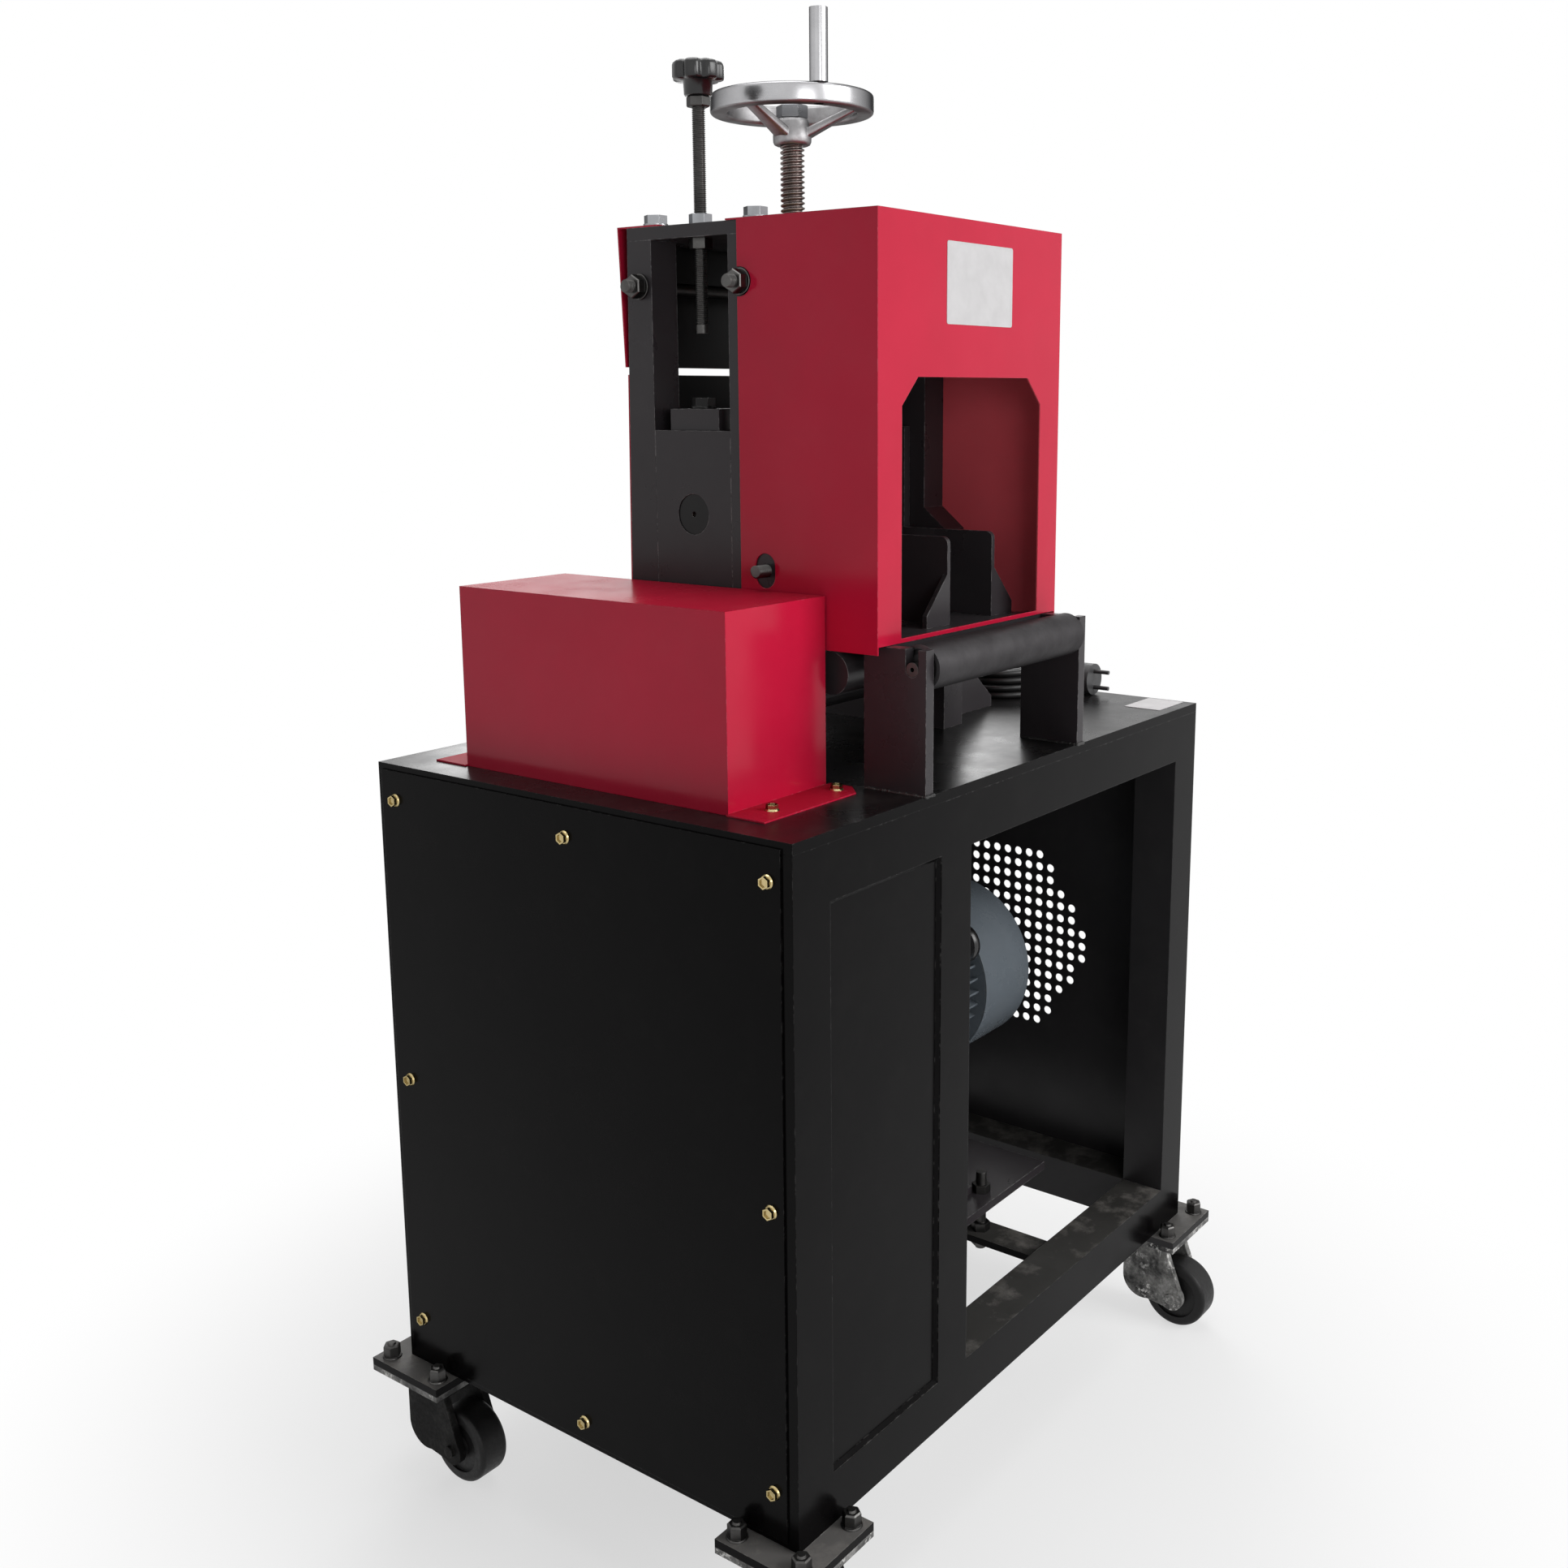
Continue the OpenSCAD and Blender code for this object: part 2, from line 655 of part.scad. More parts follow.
// Stands
stand_in = stand_half - stand_t;
jamb_out = window_w / 2 + jamb_w;
foot_front = -104;
foot_back = 84;
foot_h = 212;
gusset_t = 8;
gusset_w = 110;
gusset_h = 104;
bearing_r = 32;
bearing_lobe = 14;
bearing_bolt_y = 48;
bearing_bolt_d = 10;
bearing_flange = 9;
bearing_t = 18;
bearing_half = bearing_bolt_y + bearing_lobe;
tie_d = 12;
tie_washer_d = 2 * tie_d;
tie_y = 62;
tie_drop = 42;
tie_z = stand_h - tie_drop;
low_stud = [-88, 192];

module stand_outline() {
    difference() {
        polygon([
            [foot_front, 0], [foot_back, 0], [jamb_out, stand_h], [-jamb_out, stand_h],
            [-jamb_out, foot_h + 22], [foot_front, foot_h]
        ]);
        translate([-window_w / 2, window_sill]) square([window_w, stand_h]);
        translate([0, drum_z]) circle(d = drum_shaft_d + 4);
        for (s = [-1, 1]) translate([s * tie_y, tie_z]) circle(d = tie_d + 2 * bolt_clear);
        translate(low_stud) circle(d = tie_d + 2 * bolt_clear);
        for (s = [-1, 1]) translate([s * bearing_bolt_y, drum_z])
            circle(d = bearing_bolt_d + 2 * bolt_clear);
    }
}

module stand_bores(s) {
    for (y = top_bolt_y)
        rod_z(top_bolt_d + 2 * bolt_clear, s * top_bolt_x, y, [stand_h - top_bolt_in - 2, stand_h + 1]);
}

module stand_left() {
    color(body_black) at_head() difference() {
        slab_x([-stand_half, -stand_in]) stand_outline();
        stand_bores(-1);
    }
}

// The right stand has a gusset on the open side of the table
module stand_right() {
    color(body_black) at_head() difference() {
        union() {
            slab_x([stand_in, stand_half]) stand_outline();
            translate([stand_half - 1, -66, 0]) rotate([90, 0, 0]) linear_extrude(gusset_t)
                polygon([[0, 0], [gusset_w, 0], [gusset_w, 12], [0, gusset_h]]);
        }
        stand_bores(1);
    }
}

top_bolt_d = 12;
top_bolt_x = stand_half - stand_t / 2;
top_bolt_y = [-66, 56];
top_bolt_in = 28;
top_z = stand_h + top_t;
plate_back = jamb_out;
stop_x = -stand_half + stand_t / 2;
nut_body_d = 44;
nut_flange_d = 66;
nut_flange_t = 8;
nut_len = 38;

module top_plate() {
    color(body_black) at_head() difference() {
        span([-stand_half, stand_half], [-jamb_out - 12, plate_back], [stand_h, top_z]);
        for (s = [-1, 1], y = top_bolt_y)
            rod_z(top_bolt_d + 2 * bolt_clear, s * top_bolt_x, y, [stand_h - 1, top_z + 1]);
        rod_z(nut_body_d + 2 * bolt_clear, 0, 0, [stand_h - 1, top_z + 1]);
        rod_z(stop_d + 2 * bolt_clear, stop_x, 0, [stand_h - 1, top_z + 1]);
    }
}

// Black hex bolts of the head, the motor's carriers and the casters
module hex_bolts() {
    color("#3a3a3c") {
        at_head() {
            for (s = [-1, 1], y = top_bolt_y)
                translate([s * top_bolt_x, y, top_z + cover_t])
                    hex_bolt(top_bolt_d, top_t + cover_t + top_bolt_in);
            for (s = [-1, 1], y = [-bearing_bolt_y, bearing_bolt_y])
                translate([s * (stand_half + bearing_flange), y, drum_z]) rotate([0, s * 90, 0])
                    hex_bolt(bearing_bolt_d, bearing_flange + stand_t);
        }
        at_cabinet() {
            for (p = stool_bolts)
                translate([p[0], p[1], mount_plate_top + stool_t])
                    hex_bolt(stool_bolt_d, stool_t + mount_plate_t + 8);
            for (p = reducer_bolts)
                translate([p[0], p[1], mount_plate_top + reducer_foot_t])
                    hex_bolt(stool_bolt_d, reducer_foot_t + mount_plate_t + 8);
            for (sx = [-1, 1], sy = [-1, 1], bx = [-1, 1], by = [-1, 1])
                translate([sx * pad_x + bx * caster_bolt_pitch / 2,
                    sy * pad_y + by * caster_bolt_pitch / 2, caster_h])
                    hex_bolt(caster_bolt_d, caster_pad_t + caster_plate_t + 6);
        }
    }
}

module screw_nut() {
    color("#b08d4a") at_head() difference() {
        union() {
            rod_z(nut_body_d, 0, 0, [top_z - nut_len, top_z + 1]);
            rod_z(nut_flange_d, 0, 0, [top_z, top_z + nut_flange_t]);
        }
        rod_z(screw_d + 2 * run_clear, 0, 0, [top_z - nut_len - 1, top_z + nut_flange_t + 1]);
    }
}

// Threaded tie rods across the stands, nutted outside, and a short stud low in each stand
module tie_rods() {
    nut_h = 0.8 * tie_d;
    washer_t = 2.5;
    reach = stand_half + washer_t + nut_h + 8;
    color("#4a4a4c") at_head() {
        for (y = [-tie_y, tie_y]) {
            rod_x(tie_d, [-reach, reach], y, tie_z);
            for (s = [-1, 1]) difference() {
                translate([s * stand_half, y, tie_z]) rotate([0, s * 90, 0]) {
                    rod_z(tie_washer_d, 0, 0, [0, washer_t]);
                    hex_z(1.6 * tie_d, 0, 0, [washer_t, washer_t + nut_h]);
                }
                rod_x(tie_d + 2 * run_clear, [-reach - 1, reach + 1], y, tie_z);
            }
        }
        for (s = [-1, 1])
            translate([s * stand_half, low_stud[0], low_stud[1]]) rotate([0, s * 90, 0])
                rod_z(tie_d, 0, 0, [2 - stand_t, 16]);
    }
}

// Hood over the feed side: front, top and two sides of folded sheet
hood_side_bottom = 124.5;
hood_bottom = bracket_h + 0.5;
hood_side_back = -59;
hood_top_back = -46;
mouth_lip = 4;
mouth_corner = 25;
hood_out = stand_half + cover_t + 0.2;
notch_h = tie_washer_d + 2;
stud_hole_d = 23;
stud_hole_h = 32;
module hood() {
    hz = top_z + cover_t;
    color(cover_red) at_head() difference() {
        union() {
            span([-hood_out, hood_out], [-hood_reach, -hood_reach + cover_t], [hood_bottom, hz]);
            span([-hood_out, hood_out], [-hood_reach, hood_top_back], [top_z, hz]);
            for (s = [-1, 1])
                span([s * (hood_out - cover_t / 2) - cover_t / 2,
                    s * (hood_out - cover_t / 2) + cover_t / 2],
                     [-hood_reach, hood_side_back], [hood_side_bottom, hz]);
        }
        translate([0, -hood_reach - 1, 0]) mirror([0, 1, 0]) rotate([90, 0, 0])
            linear_extrude(cover_t + 2)
            polygon([
                [-mouth_half, hood_bottom + mouth_lip], [mouth_half, hood_bottom + mouth_lip],
                [mouth_half, mouth_top - mouth_corner], [mouth_half - mouth_corner, mouth_top],
                [-mouth_half + mouth_corner, mouth_top], [-mouth_half, mouth_top - mouth_corner]
            ]);
        span([-hood_out - 1, hood_out + 1], [-tie_y, 0], [tie_z - notch_h / 2, tie_z + notch_h / 2]);
        rod_x(notch_h, [-hood_out - 1, hood_out + 1], -tie_y, tie_z);
        slab_x([-hood_out - 1, hood_out + 1]) translate(low_stud) {
            square([stud_hole_d, stud_hole_h - stud_hole_d], center = true);
            for (s = [-1, 1]) translate([0, s * (stud_hole_h - stud_hole_d) / 2]) circle(d = stud_hole_d);
        }
        for (s = [-1, 1])
            rod_z(top_bolt_d + 2 * bolt_clear, s * top_bolt_x, top_bolt_y[0], [top_z - 1, hz + 1]);
    }
}

// Rear covers: the upper sheet hangs from the top plate, the lower one lies on the stands' back edges
rear_top_y = jamb_out + 11;
rear_low_y = jamb_out + 5;
rear_gap_z = [370, 377];
rear_bottom_z = 124.5;
outlet_half = stand_in - 12;
outlet_z = 250;
rear_flange_y = 38;
function stand_back(z) = foot_back + (jamb_out - foot_back) * z / stand_h;
module leaning_sheet(low, high) {
    polygon([low, low + [cover_t, 0], high + [cover_t, 0], high]);
}

module rear_covers() {
    color(cover_red) at_head() {
        difference() {
            slab_x([-stand_half, stand_half]) {
                leaning_sheet([rear_low_y, rear_gap_z[1]], [rear_top_y, top_z + cover_t]);
                translate([rear_flange_y, top_z])
                    square([rear_top_y + cover_t / 2 - rear_flange_y, cover_t]);
            }
            for (s = [-1, 1])
                rod_z(top_bolt_d + 2 * bolt_clear, s * top_bolt_x, top_bolt_y[1], [top_z - 1, top_z + 5]);
        }
        difference() {
            slab_x([-stand_half, stand_half])
                leaning_sheet([stand_back(rear_bottom_z), rear_bottom_z],
                    [stand_back(rear_gap_z[0]), rear_gap_z[0]]);
            span([-outlet_half, outlet_half], [0, 2 * foot_back], [rear_bottom_z - 1, outlet_z]);
        }
    }
}

// Driven roller with lengthwise teeth, and its shaft
drum_teeth = 40;
tooth_h = 2.5;
drum_half = stand_in - 14;
module drum() {
    r = drum_d / 2;
    color("#6f7173") at_head() translate([0, 0, drum_z]) {
        rod_x(drum_shaft_d, [belt_x - head_x - pulley_w / 2, stand_half + bearing_t + 4], 0, 0);
        translate([-drum_half, 0, 0]) rotate([90, 0, 90]) linear_extrude(2 * drum_half) polygon([
            for (i = [0 : drum_teeth - 1], k = [0, 1])
                (r - (1 - k) * tooth_h) * [cos((i + k / 2) * 360 / drum_teeth),
                    sin((i + k / 2) * 360 / drum_teeth)]
        ]);
    }
}

// Two-bolt flange bearings on the stands' outer faces
module bearing_flange_outline() {
    circle(r = bearing_r);
    for (s = [-1, 1]) translate([s * bearing_bolt_y, 0]) circle(r = bearing_lobe);
    polygon([
        [-bearing_bolt_y, -bearing_lobe], [0, -bearing_r], [bearing_bolt_y, -bearing_lobe],
        [bearing_bolt_y, bearing_lobe], [0, bearing_r], [-bearing_bolt_y, bearing_lobe]
    ]);
}

module drum_bearings() {
    color("#55585a") at_head() for (s = [-1, 1]) translate([0, 0, drum_z]) difference() {
        union() {
            slab_x(s < 0 ? [-stand_half - bearing_flange, -stand_half] : [stand_half,
                stand_half + bearing_flange])
                bearing_flange_outline();
            rod_x(2 * bearing_r - 8,
                s < 0 ? [-stand_half - bearing_t, -stand_half] : [stand_half, stand_half + bearing_t],
                  0, 0);
        }
        rod_x(drum_shaft_d + 2 * run_clear, [-stand_half - 60, stand_half + 60], 0, 0);
        for (y = [-bearing_bolt_y, bearing_bolt_y])
            rod_x(bearing_bolt_d + 2 * bolt_clear, [-stand_half - 60, stand_half + 60], y, 0);
    }
}

// Sliding bearing blocks in the stands' windows
block_h = 156;
block_z0 = blade_z - 78;
block_top = block_z0 + block_h;
keeper_t = 10;
keeper_over = 12;
cross_bolt_d = 12;
cross_bolt_in = 30;
cross_w = 60;
cross_h = 20;
module slide_blocks() {
    half = window_w / 2 - slide_clear;
    color("#232325") at_head() for (s = [-1, 1]) difference() {
        union() {
            span([s * top_bolt_x - stand_t / 2, s * top_bolt_x + stand_t / 2], [-half, half],
                [block_z0, block_top]);
            keep = s * (stand_in - slide_clear - keeper_t / 2);
            span([keep - keeper_t / 2, keep + keeper_t / 2], [-half - keeper_over, half + keeper_over],
                 [block_z0, block_top]);
            span([s * stand_in - slide_clear - 1, s * stand_in + slide_clear + 1], [-half, half],
                [block_z0, block_top]);
        }
        rod_x(blade_shaft_d + 2 * run_clear, [-stand_half - 1, stand_half + 1], 0, blade_z);
        rod_z(cross_bolt_d + 2 * bolt_clear, s * top_bolt_x, 0,
            [block_top - cross_bolt_in - 10, block_top + 1]);
    }
}

// Crosshead: the bar that joins the blocks and takes the lead screw's push
cross_boss_d = 62;
cross_boss_h = 26;
screw_journal_d = 16;
module crosshead() {
    top = block_top + cross_h;
    color("#232325") at_head() difference() {
        union() {
            span([-stand_half + 4, stand_half - 4], [-cross_w / 2, cross_w / 2], [block_top, top]);
            rod_z(cross_boss_d, 0, 0, [block_top, top + cross_boss_h]);
        }
        rod_z(screw_journal_d + 2 * run_clear, 0, 0, [top - 12, top + cross_boss_h + 1]);
        for (s = [-1, 1])
            rod_z(cross_bolt_d + 2 * bolt_clear, s * top_bolt_x, 0, [block_top - 1, top + 1]);
    }
}

module crosshead_bolts() {
    color("#3a3a3c") at_head() for (s = [-1, 1])
        translate([s * top_bolt_x, 0, block_top + cross_h])
            hex_bolt(cross_bolt_d, cross_h + cross_bolt_in);
}

module blade_shaft() {
    color("#57595b") at_head() difference() {
        rod_x(blade_shaft_d, [-stand_half + 1, stand_half - 1], 0, blade_z);
        for (s = [-1, 1]) rod_x(5, [s * (stand_half - 1) - 4, s * (stand_half - 1) + 4], 0, blade_z);
    }
}

// Cutting blade: a bevelled disc on a hub, over the guides' channel
blade_t = 8;
blade_hub_d = 72;
blade_hub_w = 40;
guide_mid = 49;
module blade() {
    r = blade_d / 2;
    color("#b9bcbe") at_head() translate([guide_mid, 0, blade_z]) rotate([0, 90, 0]) rotate_extrude()
        difference() {
        polygon([
            [0, -blade_hub_w / 2], [blade_hub_d / 2, -blade_hub_w / 2], [blade_hub_d / 2, -blade_t / 2],
            [r - 12, -blade_t / 2], [r, -0.3], [r, 0.3], [r - 12, blade_t / 2],
            [blade_hub_d / 2, blade_t / 2], [blade_hub_d / 2, blade_hub_w / 2], [0, blade_hub_w / 2]
        ]);
        translate([-1, -blade_hub_w]) square([blade_shaft_d / 2 + 1, 2 * blade_hub_w]);
    }
}

// Lead screw and handwheel
hub_d = 38;
hub_z = [590, 615];
hub_nut_h = 13;
screw_end_d = 18;
rim_h = 19;
rim_w = 17;
handle_d = 17.5;
handle_h = 66;
handle_pin_d = 10;
handle_angle = 239;
module lead_screw() {
    top = block_top + cross_h + cross_boss_h;
    color("#4c4540") at_head() {
        rod_z(screw_journal_d, 0, 0, [block_top + cross_h - 11, top + slide_clear]);
        rod_z(screw_d, 0, 0, [top + slide_clear, hub_z[0]]);
        rod_z(screw_end_d, 0, 0, [hub_z[0], hub_z[1] + hub_nut_h + 3]);
    }
}

module spoke(angle) {
    rotate(angle) hull() {
        translate([hub_d / 2 - 4, 0, hub_z[0] + 10]) sphere(d = 15, $fn = 24);
        translate([wheel_d / 2 - rim_w / 2, 0, wheel_z - 2]) sphere(d = 11, $fn = 24);
    }
}

module handwheel() {
    mid = wheel_d / 2 - rim_w / 2;
    hand = mid * [cos(handle_angle), sin(handle_angle)];
    color("#c8cacb") at_head() difference() {
        union() {
            rod_z(hub_d, 0, 0, hub_z);
            translate([0, 0, wheel_z]) rotate_extrude($fn = 96) translate([mid, 0]) {
                square([rim_w, rim_h - 6], center = true);
                square([rim_w - 6, rim_h], center = true);
                for (x = [-1, 1], y = [-1, 1])
                    translate([x * (rim_w / 2 - 3), y * (rim_h / 2 - 3)]) circle(r = 3, $fn = 24);
            }
            for (i = [0 : 2]) spoke(handle_angle + 60 + i * 120);
        }
        rod_z(screw_end_d, 0, 0, [hub_z[0] - 1, hub_z[1] + 1]);
        rod_z(handle_pin_d + 2 * run_clear, hand[0], hand[1], [wheel_z - rim_h, wheel_z + rim_h]);
    }
    color("#c8cacb") at_head() difference() {
        hex_z(27, 0, 0, [hub_z[1], hub_z[1] + hub_nut_h]);
        rod_z(screw_end_d, 0, 0, [hub_z[1] - 1, hub_z[1] + hub_nut_h + 1]);
    }
}

module wheel_handle() {
    mid = wheel_d / 2 - rim_w / 2;
    hand = mid * [cos(handle_angle), sin(handle_angle)];
    foot = wheel_z + rim_h / 2 + slide_clear;
    color("#d0d2d3") at_head() {
        rod_z(handle_pin_d, hand[0], hand[1], [wheel_z - rim_h / 2, foot]);
        rod_z(handle_d, hand[0], hand[1], [foot, foot + handle_h]);
    }
}

// Stop rod with its star knob and hardened tip, over the left block
stop_end = 407;
stop_foot_h = 8;
knob_z = [632, 649];
knob_boss_d = 27;
knob_boss_z = 618;
knob_lobes = 7;
stop_nut_h = 9.5;
module stop_foot() {
    color("#3a3a3c") at_head() difference() {
        rod_z(stop_d, stop_x, 0, [stop_end, stop_end + stop_foot_h]);
        rod_z(stop_d - 4 + 2 * run_clear, stop_x, 0, [stop_end + 2, stop_end + stop_foot_h + 1]);
    }
}

module stop_rod() {
    color("#3a3a3c") at_head() {
        rod_z(stop_d - 4, stop_x, 0, [stop_end + 2 + slide_clear, stop_end + stop_foot_h + slide_clear]);
        rod_z(stop_d, stop_x, 0, [stop_end + stop_foot_h + slide_clear, knob_z[1] - 6]);
        difference() {
            hex_z(1.58 * stop_d, stop_x, 0, [knob_boss_z - stop_nut_h, knob_boss_z]);
            rod_z(stop_d, stop_x, 0, [knob_boss_z - stop_nut_h - 1, knob_boss_z + 1]);
        }
    }
}

module star_knob() {
    color("#111112") at_head() translate([stop_x, 0, 0]) difference() {
        union() {
            rod_z(knob_boss_d, 0, 0, [knob_boss_z, knob_z[0] + 1]);
            translate([0, 0, knob_z[0]]) linear_extrude(knob_z[1] - knob_z[0]) {
                circle(d = knob_d - 9);
                for (i = [0 : knob_lobes - 1])
                    rotate(i * 360 / knob_lobes) translate([knob_d / 2 - 6, 0]) circle(d = 12);
            }
        }
        rod_z(stop_d, 0, 0, [knob_boss_z - 1, knob_z[1] - 6]);
    }
}

// Lock nuts over and under the top plate
module stop_nuts() {
    color("#8d8f90") at_head() difference() {
        for (z = [top_z, stand_h - stop_nut_h]) hex_z(1.58 * stop_d, stop_x, 0, [z, z + stop_nut_h]);
        rod_z(stop_d + 2 * run_clear, stop_x, 0, [stand_h - 20, top_z + 20]);
    }
}

// Infeed bed, with the round cross tube welded under it
bed_t = 10;
bed_top = bracket_h;
bed_front = -hood_reach + cover_t + 1;
cross_tube_d = 40;
cross_tube_y = -155;
module infeed_bed() {
    color(body_black) at_head() {
        span([-bracket_half, bracket_half], [bed_front, foot_front], [bed_top - bed_t, bed_top]);
        span([-stand_in, stand_in], [foot_front - 1, -drum_d / 2 - 12], [bed_top - bed_t, bed_top]);
        rod_x(cross_tube_d, [-stand_half + 8, stand_half - 8], cross_tube_y,
            bed_top - bed_t - cross_tube_d / 2 + 1);
    }
}

// A guide plate on the bed, stiffened by a gusset on its outer side
guide_t = 5;
guide_y = [-181, -72];
guide_corner = 7;
gusset_reach = 36;
gusset_rise = 50;
module guide(s) {
    face = guide_mid + s * guide_gap / 2;
    slab_x(s < 0 ? [face - guide_t, face] : [face, face + guide_t]) translate([0, bed_top]) {
        translate([guide_y[0] + guide_corner, guide_h - guide_corner]) circle(r = guide_corner);
        translate([guide_y[0], 0]) square([guide_y[1] - guide_y[0], guide_h - guide_corner]);
        translate([guide_y[0] + guide_corner, 0])
            square([guide_y[1] - guide_y[0] - guide_corner, guide_h]);
    }
    translate([face + s * (guide_t - 1), guide_y[0] + guide_t, bed_top]) rotate([90, 0, 0])
        linear_extrude(guide_t)
        polygon([[0, 0], [s * gusset_reach, 0], [s * gusset_reach, 12], [0, gusset_rise]]);
}

module guide_left() {
    color(body_black) at_head() guide(-1);
}

module guide_right() {
    color(body_black) at_head() guide(1);
}

// Brackets of the idle roller, with an open slot for the axle
idler_ahead = 28;
idler_drop = 18;
bracket_nose = 15;
bracket_l = 67;
idler_y = -hood_reach - idler_ahead;
idler_z = bracket_h - idler_drop;
bracket_y = [idler_y - bracket_nose, idler_y - bracket_nose + bracket_l];
axle_slot = idler_axle_d + 2 * slide_clear;
module roller_brackets() {
    color(body_black) at_head() for (s = [-1, 1])
        slab_x(s < 0 ? [-bracket_half - bracket_t, -bracket_half] : [bracket_half,
            bracket_half + bracket_t])
            difference() {
                translate([bracket_y[0], 0]) square([bracket_y[1] - bracket_y[0], bracket_h]);
                translate([idler_y, idler_z]) circle(d = axle_slot);
                translate([idler_y - axle_slot / 2, idler_z]) square([axle_slot, bracket_h]);
            }
}

module idler_axle() {
    color("#4a4a4c") at_head() difference() {
        rod_x(idler_axle_d, [-bracket_half - bracket_t, bracket_half + bracket_t], idler_y, idler_z);
        for (s = [-1, 1])
            rod_x(4, [s * (bracket_half + bracket_t) - 8, s * (bracket_half + bracket_t) + 8], idler_y,
                idler_z);
    }
}

module idler_roller() {
    color("#3b3b3d") at_head() difference() {
        rod_x(idler_d, [-bracket_half + 1, bracket_half - 1], idler_y, idler_z);
        rod_x(idler_axle_d + 2 * run_clear, [-bracket_half, bracket_half], idler_y, idler_z);
        for (s = [-1, 1]) difference() {
            rod_x(idler_d - 8, [s * (bracket_half - 1) - 3, s * (bracket_half - 1) + 3], idler_y,
                idler_z);
            rod_x(idler_axle_d + 12, [s * bracket_half - 8, s * bracket_half + 8], idler_y, idler_z);
        }
    }
}

// Casters: a bolted plate with a ball race, a cast fork that swivels under it and a wheel
race_d = 58;
race_t = 9;
king_d = 14;
plate_z = caster_h - caster_pad_t - caster_plate_t;
fork_top = plate_z - race_t - slide_clear;
fork_plate_t = 9;
fork_t = 8;
fork_in = caster_wheel_w / 2 + 1.5;
axle_z = caster_wheel_d / 2;
caster_axle_d = 12;
heel_r = 25;
heel_z = axle_z + 14;
axle_lobe_r = 15;

module caster_plates() {
    color(body_black) at_cabinet() for (sx = [-1, 1], sy = [-1, 1]) difference() {
        union() {
            translate([sx * pad_x - caster_plate / 2, sy * pad_y - caster_plate / 2, plate_z])
                cube([caster_plate, caster_plate, caster_plate_t]);
            rod_z(race_d, sx * pad_x, sy * pad_y, [plate_z - race_t, plate_z + 1]);
        }
        caster_bolt_holes(sx, sy, [plate_z - 1, plate_z + caster_plate_t + 1]);
        rod_z(king_d + 2 * run_clear, sx * pad_x, sy * pad_y, [plate_z - race_t - 1, plate_z + 3]);
    }
}

// The fork's cheek in Y and Z: a column, a rounded heel and the axle lobe
module fork_cheek() {
    translate([0, heel_z]) circle(r = heel_r);
    translate([-caster_trail, axle_z]) circle(r = axle_lobe_r);
    polygon([
        [-caster_trail - axle_lobe_r, axle_z], [-race_d / 2, fork_top], [race_d / 2 - 4, fork_top],
        [heel_r, heel_z], [0, heel_z - heel_r + 2], [-caster_trail + 4, axle_z - axle_lobe_r + 2]
    ]);
}

module caster_fork(sx, sy) {
    color("#2b2b2c") at_cabinet() translate([sx * pad_x, sy * pad_y, 0]) {
        difference() {
            union() {
                for (s = [-1, 1])
                    slab_x(s < 0 ? [-fork_in - fork_t, -fork_in] : [fork_in, fork_in + fork_t])
                        fork_cheek();
                span([-fork_in - fork_t, fork_in + fork_t], [-race_d / 2, race_d / 2 - 4],
                    [fork_top - fork_plate_t, fork_top]);
                rod_z(king_d, 0, 0, [fork_top - 1, plate_z + 2]);
            }
            rod_x(caster_axle_d + 2 * bolt_clear, [-fork_in - fork_t - 1, fork_in + fork_t + 1],
                -caster_trail, axle_z);
        }
        rod_x(caster_axle_d, [-fork_in - fork_t - 3, fork_in + fork_t + 3], -caster_trail, axle_z);
    }
}

module caster_wheel(sx, sy) {
    r = caster_wheel_d / 2;
    color("#161617") at_cabinet() translate([sx * pad_x, sy * pad_y - caster_trail, axle_z])
        rotate([0, 90, 0])
        rotate_extrude() difference() {
            union() {
                translate([0, -caster_wheel_w / 2 + 5]) square([r, caster_wheel_w - 10]);
                translate([0, -caster_wheel_w / 2]) square([r - 5, caster_wheel_w]);
                for (s = [-1, 1]) translate([r - 5, s * (caster_wheel_w / 2 - 5)])
                    circle(r = 5, $fn = 24);
            }
            translate([-1, -caster_wheel_w])
                square([1 + caster_axle_d / 2 + run_clear, 2 * caster_wheel_w]);
            for (s = [-1, 1]) translate([caster_axle_d / 2 + 6, s * caster_wheel_w / 2 - 3])
                square([r * 0.4, 6]);
        }
}

module fork_front_left() {
    caster_fork(-1, -1);
}

module fork_front_right() {
    caster_fork(1, -1);
}

module fork_back_left() {
    caster_fork(-1, 1);
}

module fork_back_right() {
    caster_fork(1, 1);
}

module wheel_front_left() {
    caster_wheel(-1, -1);
}

module wheel_front_right() {
    caster_wheel(1, -1);
}

module wheel_back_left() {
    caster_wheel(-1, 1);
}

module wheel_back_right() {
    caster_wheel(1, 1);
}

// Power cord: a gland in the table, a lead to the coil that lies on the table, and a round plug
cord_rest = cord_d / 2 + 0.1;
coil_gap = 0.6;
coil_pitch = cord_d + coil_gap;
coil_turns_a_layer = 2;
coil_layers = 4;
coil_end_turn = coil_turns_a_layer * coil_layers + coil_start / 360;
coil_rings_a_turn = 24;

